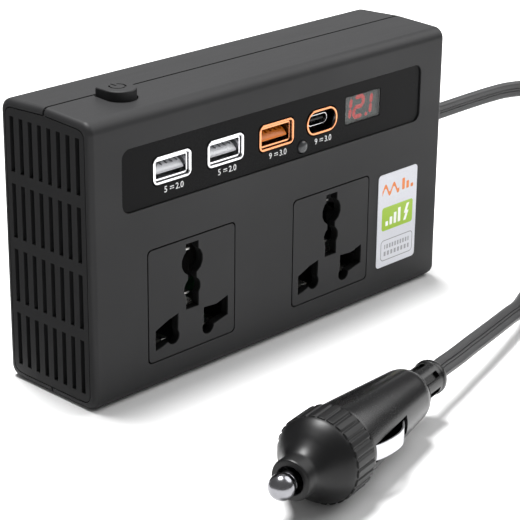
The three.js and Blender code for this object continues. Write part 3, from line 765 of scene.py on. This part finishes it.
class INVERTER_OT_lead(PieceOperator, bpy.types.Operator):
    """Builds the flat twin lead, its strain relief and the strap round its turns"""
    bl_idname = "inverter.lead"
    bl_label = "Lead"

    def build(self):
        chosen = settings().lead
        width = chosen.width / MM
        route = lead_route()
        bm, length = swept(lead_section(width, chosen.thickness / MM), route, LEAD_TILTS)
        lead = piece("lead", bm, "lead", stands_for=("cord_out", "cord_coil", "cord_back"))
        self.gland()
        strap = piece(
            "coil_strap", soften(bare_copy("cord_tie"), 0.3), "strap", stands_for=("cord_tie",)
        )
        self.declare = lambda pieces: (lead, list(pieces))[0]
        LEAD["declare"] = self.declare

    def gland(self):
        low, high = span("cord_gland")
        centre, _ = middle("cord_gland")
        reach = high.x - low.x
        outer = [(0, 0), (6.3, 0), (6.3, 1.7), (3.9, 1.7), (3.9, 4.7), (6.0, 4.7), (6.3, 5.0), (6.3, 6.1), (5.9, 6.5)]
        ribs = []
        for step in range(6):
            start = 7.6 + step * 2.7
            radius = 5.1 - step * 0.3
            ribs += [(radius, start), (radius - 0.1, start + 1.7), (radius - 0.8, start + 1.85), (radius - 0.85, start + 2.5)]
        tail = [(3.4, 23.9), (3.35, reach - 0.3), (3.1, reach), (0, reach)]
        profile = [*outer, (5.2, 7.2), *ribs, *tail]
        place = Matrix.Translation((low.x, centre.y, centre.z)) @ Matrix.Rotation(math.pi / 2, 4, "Y")
        piece("strain_relief", turned(profile, 48), "black", stands_for=("cord_gland",), place=place)


LEAD = {}


# ------------------------------------------------------------------ case

CASE_LOW, CASE_HIGH = None, None


def case_dims():
    """Half length, half depth and height of the case."""
    low, _ = span("rear_shell")
    _, high = span("rear_shell")
    return high.x, high.y, high.z


TAPER = 0.044
LAND = 13.6


def case_block(inset, radius, reach, rim=0.0):
    """The case's outline drawn along X, with its long edges rounded and, if asked, its end edges too."""
    _, half, top = case_dims()
    steps = settings().case.steps
    y = half - inset
    heel = TAPER * (half - LAND) + inset
    shoulder = top - TAPER * half - inset
    outline = [(-y, heel), (-LAND, inset), (LAND, inset), (y, heel), (y, shoulder), (0, top - inset), (-y, shoulder)]
    bm = prism("x", outline, -reach, reach)
    soften(bm, radius, steps, 60, lambda e: near(e.verts[0].co.y, e.verts[1].co.y) and not near(e.verts[0].co.x, e.verts[1].co.x))
    if rim:
        soften(bm, rim, 5, 60, lambda e: all(near(abs(v.co.x), reach) for v in e.verts))
    return bm


def around(node, corner, low, high, steps=6, clearance=GAP):
    """A tool for the opening round a flat node, along Y."""
    centre, extent = middle(node)
    outline = rounded(centre.x, centre.z, extent.x + 2 * clearance, extent.z + 2 * clearance, corner, steps)
    return prism("y", outline, low, high)


def button_outline(clearance, steps=20):
    centre, _ = middle("power_button")
    radius = BUTTON_RADIUS + clearance
    back = BUTTON_BACK + clearance
    return [
        (centre.x + radius, back), (centre.x - radius, back),
        *arc(centre.x, centre.y, radius, 180, 360, steps),
    ]


BUTTON_RADIUS = 5.5
BUTTON_BACK = -1.0
SCREWS = ("case_screw_1", "case_screw_2", "case_screw_3", "case_screw_4")
PORTS = ("usb_a_shell_1", "usb_a_shell_2", "usb_a_shell_3")
PLATES = ("socket_plate_1", "socket_plate_2")


class INVERTER_OT_case(PieceOperator, bpy.types.Operator):
    """Builds the front and rear halves of the case"""
    bl_idname = "inverter.case"
    bl_label = "Case halves"

    def build(self):
        chosen = settings().case
        reach, half, top = case_dims()
        self.face, far = -half, 200
        def whole():
            """The rounded case with a fine groove where the halves meet."""
            groove = carved(block((-far, -0.4, -far), (far, 0.4, far)), [case_block(0.7, 3.4, reach - 0.7)])
            return carved(case_block(0, chosen.fillet / MM * 0.98, reach, chosen.rim / MM), [groove])

        hollow = lambda: case_block(chosen.wall / MM, 2.9, reach + 1)
        front = carved(whole(), [hollow(), block((-far, -GAP / 2, -far), (far, far, far)), *self.front_tools()])
        lip = chosen.lip / MM
        soften(front, lip, 3, 60, lambda e: all(near(v.co.y, self.face) for v in e.verts))
        soften(front, lip, 2, 60, self.round_the_button)
        piece("front_half", front, "shell", stands_for=("front_shell",))
        rear = carved(whole(), [hollow(), block((-far, -far, -far), (far, GAP / 2, far))])
        posts, bores = [], []
        for name in SCREWS:
            centre, _ = middle(name)
            posts.append(rod("y", centre.x, centre.z, 3.2, GAP / 2, half - 1))
            bores += [rod("y", centre.x, centre.z, 1.7, -1, half + 1), rod("y", centre.x, centre.z, 3, half - 5, half + 1)]
        rear = carved(carved(rear, posts, "UNION"), bores)
        soften(rear, 0.35, 2, 60, lambda e: all(near(v.co.y, half) for v in e.verts))
        piece("rear_half", rear, "shell", stands_for=("rear_shell",))

    def round_the_button(self, edge):
        middle_z = (edge.verts[0].co.z + edge.verts[1].co.z) / 2
        centre, _ = middle("power_button")
        close = all((v.co.xy - centre.xy).length < BUTTON_RADIUS * 1.45 for v in edge.verts)
        return close and middle_z > 96 and edge.verts[0].co.y < BUTTON_BACK + 3

    def front_tools(self):
        face = self.face
        seat_low, seat_high = span("control_panel")
        deep = face + settings().case.wall / MM + 1
        tools = [around("control_panel", 3.3, face - 1, seat_high.y + GAP, 8, 0.04)]
        tools += [around(name, 1.8, face - 1, deep, 6, 0.42) for name in PLATES]
        tools += [around(name, 2, seat_high.y, deep) for name in PORTS]
        tools.append(around("usb_c_shell", 4.2, seat_high.y, deep))
        tools.append(around("display_window", 0.3, seat_high.y, deep, 2))
        lens, extent = middle("indicator_lens")
        tools.append(rod("y", lens.x, lens.z, extent.x / 2 + GAP, seat_high.y, deep))
        tools.append(prism("z", button_outline(0.35), 88, 105))
        return tools


class INVERTER_OT_grilles(PieceOperator, bpy.types.Operator):
    """Builds the slotted plates at both ends"""
    bl_idname = "inverter.grilles"
    bl_label = "End grilles"

    def build(self):
        for name, side in (("left_grille", -1), ("right_grille", 1)):
            low, high = span(name)
            outside = low.x if side < 0 else high.x
            bm = bare_copy(name)
            soften(bm, 0.22, 2, 60, lambda e: all(near(v.co.x, outside) for v in e.verts))
            piece(name + "_plate", bm, "grille", stands_for=(name,))


class INVERTER_OT_screws(PieceOperator, bpy.types.Operator):
    """Builds the four case screws with crossed recesses"""
    bl_idname = "inverter.screws"
    bl_label = "Case screws"

    def build(self):
        for name in SCREWS:
            low, high = span(name)
            centre, _ = middle(name)
            radius = (high.x - low.x) / 2
            head = [(0, 0), (radius * 0.6, 0), (radius * 0.9, 0.25), (radius, 0.7), (radius, 1.8), (1.2, 1.8)]
            shank = [(1.2, high.y - low.y - 1.5), (0.3, high.y - low.y), (0, high.y - low.y)]
            bm = turned([*head, *shank], 32)
            arms = [block((-1.5, -0.32, -1), (1.5, 0.32, 0.9)), block((-0.32, -1.5, -1), (0.32, 1.5, 0.9))]
            bm = carved(bm, arms)
            place = Matrix.Translation((centre.x, high.y, centre.z)) @ Matrix.Rotation(math.pi / 2, 4, "X")
            piece(name + "_cross", bm, "steel", stands_for=(name,), place=place)


# ------------------------------------------------------------------ control panel

class INVERTER_OT_panel(PieceOperator, bpy.types.Operator):
    """Builds the port panel, its lamp and its printed marks"""
    bl_idname = "inverter.panel"
    bl_label = "Port panel"

    def build(self):
        low, high = span("control_panel")
        centre, extent = middle("control_panel")
        plate = prism("y", rounded(centre.x, centre.z, extent.x, extent.z, 3.3, 10), low.y, high.y)
        tools = [around(name, 2, low.y - 1, high.y + 1) for name in PORTS]
        tools.append(around("usb_c_shell", 4.2, low.y - 1, high.y + 1))
        tools.append(around("display_window", 0.3, low.y - 1, high.y + 1, 2, 0.15))
        lens, lens_extent = middle("indicator_lens")
        tools.append(rod("y", lens.x, lens.z, lens_extent.x / 2 + 0.2, low.y - 1, high.y + 1))
        plate = carved(plate, tools)
        soften(plate, 0.18, 2, 60, lambda e: all(near(v.co.y, low.y) for v in e.verts))
        piece("port_panel", plate, "panel", stands_for=("control_panel",))
        self.lamp(lens, lens_extent)
        self.marks(low.y)

    def lamp(self, centre, extent):
        low, _ = span("indicator_lens")
        radius = extent.x / 2
        dome = [(radius * math.sin(t), 1.15 * (1 - math.cos(t))) for t in (math.pi / 2 * i / 8 for i in range(9))]
        flange = [(radius, 5.4), (radius - 0.3, 6), (0, 6)]
        place = Matrix.Translation((centre.x, low.y, centre.z)) @ Matrix.Rotation(-math.pi / 2, 4, "X")
        piece(
            "lamp_dome", turned([*dome, *flange], 32), "lamp", stands_for=("indicator_lens",), place=place
        )

    def marks(self, face):
        """Numbers under each port, with the plain sign for direct current between them."""
        strips = []
        for name, first, second in (
            (PORTS[0], "5", "2.0"), (PORTS[1], "5", "2.0"), (PORTS[2], "9", "3.0"), ("usb_c_shell", "9", "3.0")
        ):
            centre, _ = middle(name)
            x, z = centre.x, 67.1
            strips += self.figures(first, x - 3.6, z, face) + self.figures(second, x + 1.4, z, face)
            strips.append(block((x - 1.0, face - 0.05, z + 1.25), (x + 0.7, face + 0.05, z + 1.55)))
            for step in range(3):
                left = x - 1.0 + step * 0.65
                strips.append(block((left, face - 0.05, z + 0.55), (left + 0.4, face + 0.05, z + 0.85)))
        piece("port_figures", together(strips), "print")

    def figures(self, text, x, z, face):
        curve = bpy.data.curves.new("figures", "FONT")
        curve.body, curve.size, curve.extrude, curve.resolution_u = text, 2.95, 0.05, 4
        holder = bpy.data.objects.new("figures", curve)
        bpy.context.scene.collection.objects.link(holder)
        mesh = bpy.data.meshes.new_from_object(holder.evaluated_get(bpy.context.evaluated_depsgraph_get()))
        bm = bmesh.new()
        bm.from_mesh(mesh)
        bpy.data.meshes.remove(mesh)
        bpy.data.objects.remove(holder)
        bpy.data.curves.remove(curve)
        place = Matrix.Translation((x, face, z)) @ Matrix.Rotation(math.pi / 2, 4, "X")
        bmesh.ops.transform(bm, matrix=place, verts=bm.verts)
        return [bm]


class INVERTER_OT_ports(PieceOperator, bpy.types.Operator):
    """Builds the charging ports"""
    bl_idname = "inverter.ports"
    bl_label = "Charging ports"

    def build(self):
        for index, name in enumerate(PORTS):
            metal, insert = ("copper", "orange") if index == 2 else ("chrome", "grey")
            slots = ("copper_metal", "orange_plastic") if index == 2 else ("chrome_metal", "grey_plastic")
            self.bezel(name, 2.0, 0.8, 1.7, metal, slots[0])
            self.tongue(name.replace("shell", "tongue"), insert, slots[1])
        self.bezel("usb_c_shell", 4.2, 0.8, 0.8, "copper", "copper_metal")
        low, high = span("usb_c_socket")
        centre, extent = middle("usb_c_socket")
        tube = prism("y", rounded(centre.x, centre.z, extent.x, extent.z, extent.z / 2 - 0.03, 10), low.y, high.y)
        bore = rounded(centre.x, centre.z, extent.x - 0.7, extent.z - 0.7, extent.z / 2 - 0.38, 10)
        tube = carved(tube, [prism("y", bore, low.y - 1, high.y - 0.35)])
        soften(tube, 0.12, 2, 60, lambda e: all(near(v.co.y, low.y) for v in e.verts))
        piece("usb_c_tube", tube, "chrome", stands_for=("usb_c_socket",))
        tongue = soften(bare_copy("usb_c_tongue"), 0.15)
        piece("usb_c_insert", tongue, "black", stands_for=("usb_c_tongue",))

    def bezel(self, node, corner, rim, wall, finish, slot):
        """A rounded front ring, a fine groove and the shell set back behind it."""
        low, high = span(node)
        centre, extent = middle(node)

        def outline(inset, radius):
            return rounded(centre.x, centre.z, extent.x - 2 * inset, extent.z - 2 * inset, radius, 8)

        body = prism("y", outline(0, corner), low.y, high.y)
        tools = [prism("y", outline(wall, max(corner - wall, 0.4)), low.y - 1, high.y - 0.6)]
        recess = low.y + 0.9
        if wall > rim:
            tools.append(prism("y", outline(rim, corner - rim), low.y - 1, recess))
            kept = [prism("y", outline(rim + 0.36, max(corner - rim - 0.2, 0.4)), low.y - 1, high.y)]
            tools.append(carved(prism("y", outline(rim, corner - rim), low.y, recess + 1.3), kept))
        body = carved(body, tools)
        soften(body, 0.24, 4, 60, lambda e: all(near(v.co.y, low.y) for v in e.verts))
        made = piece(node + "_bezel", body, finish, stands_for=(node,))
        if finish == "copper":
            made.data.materials.append(FINISHES["pin"])
            for face in made.data.polygons:
                inward = (centre - face.center / MM) * face.normal
                deep = face.center.y / MM > low.y + 0.4
                face.material_index = int(deep and inward.x + inward.z > 0.1)

    def tongue(self, node, finish, slot):
        """The insert: its top slopes down to the front edge and carries five contact lanes."""
        low, high = span(node)
        slope = [
            (low.y, low.z), (low.y, low.z + 0.35), (low.y + 0.5, low.z + 1.1), (low.y + 1.6, low.z + 2.1),
            (low.y + 3.2, high.z - 0.2), (low.y + 4.8, high.z), (high.y, high.z), (high.y, low.z),
        ]
        bm = prism("x", slope, low.x, high.x)
        soften(bm, 0.7, 4, 60, lambda e: near(e.verts[0].co.x, e.verts[1].co.x) and e.verts[0].co.y < low.y + 5
               and e.verts[1].co.y < low.y + 5 and max(v.co.z for v in e.verts) > low.z + 0.1
               and near(e.verts[0].co.x, high.x))
        lanes = []
        for step in range(5):
            x = low.x + 0.9 + step * 2.3
            lanes.append(block((x, low.y + 1.5, high.z - 1.1), (x + 0.85, low.y + 8.5, high.z + 1)))
        bm = carved(bm, lanes)
        piece(node + "_insert", bm, finish, stands_for=(node,))


SEGMENTS = {"1": "bc", "2": "abged"}


class INVERTER_OT_display(PieceOperator, bpy.types.Operator):
    """Builds the readout and its window"""
    bl_idname = "inverter.display"
    bl_label = "Display"

    def build(self):
        low, high = span("display_window")
        centre, extent = middle("display_window")
        window = prism("y", rounded(centre.x, centre.z, extent.x, extent.z, 0.3, 3), low.y + 0.1, high.y)
        piece("readout_window", soften(window, 0.08), "window", stands_for=("display_window",))
        face, _ = span("display_module")
        bm = soften(bare_copy("display_module"), 0.15)
        piece("readout_module", bm, "backing", stands_for=("display_module",))
        bars = []
        for figure, x in (("1", centre.x - 7.4), ("2", centre.x - 0.9), ("1", centre.x + 3.4)):
            bars += self.figure(SEGMENTS[figure], x, centre.z, face.y)
        bars.append(block((centre.x + 2.6, face.y - 0.12, centre.z - 4.1), (centre.x + 3.7, face.y, centre.z - 3.0)))
        piece("readout_figures", together(bars), "segments")

    def figure(self, lit, x, z, face):
        """Seven-segment bars of one figure, leaning a little."""
        half, wide, thick = 3.5, 4.4, 0.72
        places = {
            "a": (0, half, 1), "g": (0, 0, 1), "d": (0, -half, 1), "b": (wide / 2, half / 2, 0),
            "c": (wide / 2, -half / 2, 0), "f": (-wide / 2, half / 2, 0), "e": (-wide / 2, -half / 2, 0),
        }
        bars = []
        for key in lit:
            dx, dz, level = places[key]
            length = wide / 2 if level else half / 2
            ends = [(-length, 0), (-length + thick, thick), (length - thick, thick), (length, 0)]
            ends += [(length - thick, -thick), (-length + thick, -thick)]
            outline = [(a, b) if level else (b, a) for a, b in ends]
            outline = [(x + dx + a + 0.1 * (dz + b), z + dz + b) for a, b in outline]
            bars.append(prism("y", outline, face - 0.12, face))
        return bars


# ------------------------------------------------------------------ mains outlets

class INVERTER_OT_outlets(PieceOperator, bpy.types.Operator):
    """Builds the two mains outlet plates"""
    bl_idname = "inverter.outlets"
    bl_label = "Mains outlets"

    def build(self):
        for index, name in enumerate(PLATES, 1):
            low, high = span(name)
            bm = bare_copy(name)
            soften(bm, 0.16, 2, 45, lambda e: all(near(v.co.y, low.y) for v in e.verts))
            # The plate's finish has painted shade inside the pin openings.
            piece(f"outlet_plate_{index}", bm, "plate", stands_for=(name,))
            for kind in ("earth", "live", "neutral"):
                node = f"{kind}_contact_{index}"
                leaf = soften(bare_copy(node), 0.15, 2, 60)
                piece(f"{kind}_clip_{index}", leaf, "brass", stands_for=(node,))


class INVERTER_OT_label(PieceOperator, bpy.types.Operator):
    """Builds the printed label"""
    bl_idname = "inverter.label"
    bl_label = "Label"

    def build(self):
        low, high = span("rating_label")
        centre, extent = middle("rating_label")
        bm = prism("y", rounded(centre.x, centre.z, extent.x, extent.z, 1.5, 8), low.y, high.y + 0.05)
        soften(bm, 0.05, 1)
        piece("front_label", bm, "label", stands_for=("rating_label",))


# ------------------------------------------------------------------ button

class INVERTER_OT_button(PieceOperator, bpy.types.Operator):
    """Builds the power button with its engraved sign"""
    bl_idname = "inverter.button"
    bl_label = "Power button"

    def build(self):
        low, high = span("power_button")
        centre, extent = middle("power_button")
        flange_low = low.z + 4
        cap = prism("z", button_outline(0), flange_low, high.z)
        soften(cap, 0.5, 4, 60, lambda e: all(near(v.co.z, high.z) for v in e.verts))
        corners = lambda e: not near(e.verts[0].co.z, e.verts[1].co.z) and e.verts[0].co.y > BUTTON_BACK - 0.1
        soften(cap, 0.4, 3, 60, corners)
        flange = prism("z", rounded(centre.x, centre.y, extent.x, extent.y, 2), flange_low, flange_low + 1.7)
        stem = rod("z", centre.x, centre.y, 2.2, low.z, flange_low + 1)
        cap = carved(cap, [flange, stem], "UNION")
        x, y = centre.x + 0.3, centre.y + 1.3
        ring = [*arc(x, y, 2.9, 125, 415, 28), *arc(x, y, 2.3, 415, 125, 28)]
        bar = rounded(x, y + 1.9, 0.6, 2.8, 0.28, 3)
        cap = carved(cap, [prism("z", ring, high.z - 0.4, high.z + 1), prism("z", bar, high.z - 0.4, high.z + 1)])
        piece("button_cap", cap, "shell", "button", stands_for=("power_button",))


# ------------------------------------------------------------------ electronics

AS_THEY_ARE = {
    "port_board": "board", "main_board": "board", "button_switch": "black", "button_spring": "steel",
    "transformer_core": "ferrite", "transformer_winding": "winding", "heat_sink": "aluminium",
    "power_transistor_1": "black", "power_transistor_2": "black", "power_transistor_3": "black",
    "filter_capacitor_1": "black", "filter_capacitor_2": "black", "mains_fuse": "glass",
    "fan_frame": "black", "fan_rotor": "black", "spring_seat": "steel", "plug_fuse": "glass", "pin_spring": "steel",
}


class INVERTER_OT_electronics(PieceOperator, bpy.types.Operator):
    """Finishes the parts inside the case and the plug"""
    bl_idname = "inverter.electronics"
    bl_label = "Electronics"

    def build(self):
        for node, finish in AS_THEY_ARE.items():
            coat(node, finish)


# ------------------------------------------------------------------ car plug

class INVERTER_OT_plug(PieceOperator, bpy.types.Operator):
    """Builds the car plug"""
    bl_idname = "inverter.plug"
    bl_label = "Car plug"

    def build(self):
        self.place = plug_place()
        made = [self.nose(), self.pin(), self.barrel(), self.collar()]
        made += [self.leaf(f"side_contact_{i}", body, turn) for i, (body, turn) in enumerate(
            (("contact_left", 0), ("contact_right", math.pi)), 1)]
        LEAD["declare"]([m for m in made if m is not None])

    def nose(self):
        chosen = settings().plug
        depth, radius = chosen.notch_depth / MM, 13.9
        flare = flowing(
            [(6.5, 12), (6.7, 13.2), (7.6, 15), (9, 16.9), (10.6, 18.7), (12.1, 20.6), (13.1, 22.3), (13.4, 23.3)], 4
        )
        outer = [(4.3, 8.5), (4.6, 8.2), (5.7, 8.2), (6.2, 8.4), (6.5, 9), *flare, (13.2, 23.6)]
        inner = [(9.6, 23.6), (9.6, 22.3), (4.9, 22.3), (4.9, 13), (3.6, 13), (3.6, 12), (4.3, 12)]
        nose = turned([*outer, *inner], 88)
        outline = []
        count = chosen.notches
        for step in range(count):
            start, pitch = 360 / count * step, 360 / count
            outline += arc(0, 0, radius, start, start + pitch * 0.66, 4)
            outline += arc(0, 0, radius - depth, start + pitch * 0.72, start + pitch * 0.94, 2)
        ring = carved(prism("z", outline, 23.3, 32.6), [rod("z", 0, 0, 9.6, 22, 34, 48)])
        soften(ring, 0.4, 2, 60, lambda e: all(near(v.co.z, 32.6) or near(v.co.z, 23.3) for v in e.verts)
               and all(v.co.xy.length > 12 for v in e.verts))
        made = carved(nose, [ring], "UNION")
        return piece("plug_nose", made, "plug", "nose", stands_for=("nose_cap",), place=self.place)

    def pin(self):
        ball = [(4 * math.sin(t), 4 - 4 * math.cos(t)) for t in (math.radians(a) for a in range(0, 126, 9))]
        neck = [(3.2, 6.6), (3.3, 7), (3.3, 13.3), (4.5, 13.3), (4.5, 14.9), (2.8, 14.9), (2.8, 16.8), (0, 16.8)]
        return piece(
            "plug_pin", turned([*ball, *neck], 64), "pin", "pin", stands_for=("contact_pin",),
            place=self.place,
        )

    def barrel(self):
        shell = [
            (4.4, 23.9), (9.3, 23.9), (9.3, 33), (12.9, 33), (13.2, 33.3), (13.2, 34.2), (12.8, 34.5),
            *flowing([(12.65, 34.6), (12.3, 39.7), (11.45, 49.1), (10.4, 60), (9.35, 70.9), (9.0, 74.6)], 3),
            (8.7, 76.1), (8.1, 77.2), (7.85, 77.5), (7.9, 77.9), (7.6, 78.3), (7.2, 78.4), (0, 78.4), (0, 56),
            (4.4, 56), (4.4, 23.9),
        ]
        bm = turned(shell, 88)
        pockets = [block((6 if side > 0 else -18, -3, 35.8), (18 if side > 0 else -6, 3, 58)) for side in (-1, 1)]
        bm = carved(bm, pockets)
        return piece("plug_barrel", bm, "barrel", stands_for=("plug_body",), place=self.place)

    def collar(self):
        profile = [
            (0, 78.7), (5.4, 78.7), (5.5, 79), (5.5, 90.4), (5.75, 90.9), (5.85, 91.3), (5.85, 92.4), (5.5, 93.2),
            (5.2, 93.4), (3.6, 93.4), (3.5, 90), (0, 90),
        ]
        bm = turned(profile, 64)
        windows = []
        for turn in (20, 80, 140, 200, 260, 320):
            window = block((4.4, -1.05, 80.4), (7, 1.05, 89.2))
            twist = Matrix.Rotation(math.radians(turn), 3, "Z")
            bmesh.ops.rotate(window, cent=(0, 0, 0), matrix=twist, verts=window.verts)
            windows.append(window)
        bm = carved(bm, windows)
        return piece("plug_sleeve", bm, "barrel", stands_for=("plug_collar",), place=self.place)

    def leaf(self, node, body, turn):
        line = flowing(
            [(11.9, 36.2), (12.9, 38.6), (13.7, 42.8), (13.9, 47), (13.2, 50.8), (11.4, 54.4), (9.6, 56.8)], 5
        )
        bm = bmesh.new()
        points = [bm.verts.new((r, -2.5, s)) for r, s in line]
        edges = [bm.edges.new(pair) for pair in zip(points, points[1:])]
        grown = bmesh.ops.extrude_edge_only(bm, edges=edges)["geom"]
        bmesh.ops.translate(bm, vec=(0, 5, 0), verts=[v for v in grown if isinstance(v, bmesh.types.BMVert)])
        bmesh.ops.recalc_face_normals(bm, faces=bm.faces)
        if sum(face.normal.x for face in bm.faces) < 0:
            bmesh.ops.reverse_faces(bm, faces=bm.faces)
        bmesh.ops.solidify(bm, geom=bm.faces, thickness=0.6)
        bmesh.ops.recalc_face_normals(bm, faces=bm.faces)
        soften(bm, 0.12, 2, 60)
        bmesh.ops.rotate(bm, cent=(0, 0, 0), matrix=Matrix.Rotation(turn, 3, "Z"), verts=bm.verts)
        return piece(node + "_leaf", bm, "leaf", body, stands_for=(node,), place=self.place)


# ------------------------------------------------------------------ stage

class INVERTER_OT_stage(PieceOperator, bpy.types.Operator):
    """Builds the floor and the lights"""
    bl_idname = "inverter.stage"
    bl_label = "Stage"

    def build(self):
        bm = bmesh.new()
        bmesh.ops.create_grid(bm, x_segments=2, y_segments=2, size=6)
        bmesh.ops.translate(bm, vec=(0, 0, -0.00004), verts=bm.verts)
        floor = as_object(bm, "floor")
        f = Finish("Pale floor", Roughness=0.9, Specular_IOR_Level=0.1)
        f.colour(f.mix(f.noise(f.place(), 0.02, 3), tone(243, 243, 243), tone(246, 246, 246)))
        floor.data.materials.append(f.material)
        world = bpy.data.worlds.new("Studio")
        bpy.context.scene.world = world
        world.use_nodes = True
        world.node_tree.nodes["Background"].inputs["Color"].default_value = (1, 1, 1, 1)
        world.node_tree.nodes["Background"].inputs["Strength"].default_value = 0.25
        bpy.context.scene.view_settings.view_transform = "Standard"
        self.light("Key", (0.02, 0.31, 1.42), (0.02, 0.0, 0.05), 0.6, 42)
        self.light("Front strip", (0.78, -0.36, 0.84), (0.0, 0, 0.06), 1.0, 7.5)
        self.light("Rear right", (0.95, 0.9, 0.55), (0.0, 0, 0.06), 0.8, 0.6)
        self.shade()

    def shade(self):
        """A dark card beside the left end, seen only in glossy reflections."""
        bm = bmesh.new()
        bmesh.ops.create_grid(bm, x_segments=1, y_segments=1, size=1)
        bmesh.ops.scale(bm, vec=(0.3, 0.4, 1), verts=bm.verts)
        bmesh.ops.translate(bm, vec=(-0.392, 0.36, 0.0003), verts=bm.verts)
        card = as_object(bm, "shade_card")
        f = Finish("Dark card", Specular_IOR_Level=0)
        f.colour(f.mix(f.noise(f.place(), 0.02, 2), tone(96, 96, 96), tone(100, 100, 100)))
        card.data.materials.append(f.material)
        card.visible_camera = card.visible_diffuse = card.visible_shadow = False
        card.visible_transmission = card.visible_volume_scatter = False

    def light(self, name, place, aim, width, power):
        data = bpy.data.lights.new(name, "AREA")
        data.shape, data.size, data.energy = "DISK", width, power
        lamp = bpy.data.objects.new(name, data)
        lamp.location = place
        lamp.rotation_mode = "QUATERNION"
        lamp.rotation_quaternion = (Vector(aim) - Vector(place)).to_track_quat("-Z", "Y")
        bpy.context.scene.collection.objects.link(lamp)


# ------------------------------------------------------------------ add-on

OPERATORS = (
    INVERTER_OT_camera, INVERTER_OT_lead, INVERTER_OT_case, INVERTER_OT_grilles, INVERTER_OT_screws,
    INVERTER_OT_panel, INVERTER_OT_ports, INVERTER_OT_display, INVERTER_OT_outlets, INVERTER_OT_label,
    INVERTER_OT_button, INVERTER_OT_electronics, INVERTER_OT_plug, INVERTER_OT_stage,
)


class INVERTER_PT_panel(bpy.types.Panel):
    """Lists the inverter's pieces and sizes"""
    bl_label = "Power inverter"
    bl_idname = "INVERTER_PT_panel"
    bl_space_type = "VIEW_3D"
    bl_region_type = "UI"
    bl_category = "Inverter"

    def draw(self, context):
        chosen = context.scene.inverter
        for group in (chosen.case, chosen.lead, chosen.plug, chosen.finish):
            box = self.layout.box()
            for name in group.__annotations__:
                box.prop(group, name)
        for operator in OPERATORS:
            self.layout.operator(operator.bl_idname)


CLASSES = (CaseSettings, LeadSettings, PlugSettings, FinishSettings, InverterSettings, *OPERATORS, INVERTER_PT_panel)


def register():
    for cls in CLASSES:
        bpy.utils.register_class(cls)
    bpy.types.Scene.inverter = PointerProperty(type=InverterSettings)


def unregister():
    del bpy.types.Scene.inverter
    for cls in reversed(CLASSES):
        bpy.utils.unregister_class(cls)


def main():
    register()
    make_finishes()
    for operator in OPERATORS:
        group, name = operator.bl_idname.split(".")
        getattr(getattr(bpy.ops, group), name)()
    bpy.context.view_layer.update()


if __name__ == "__main__":
    main()
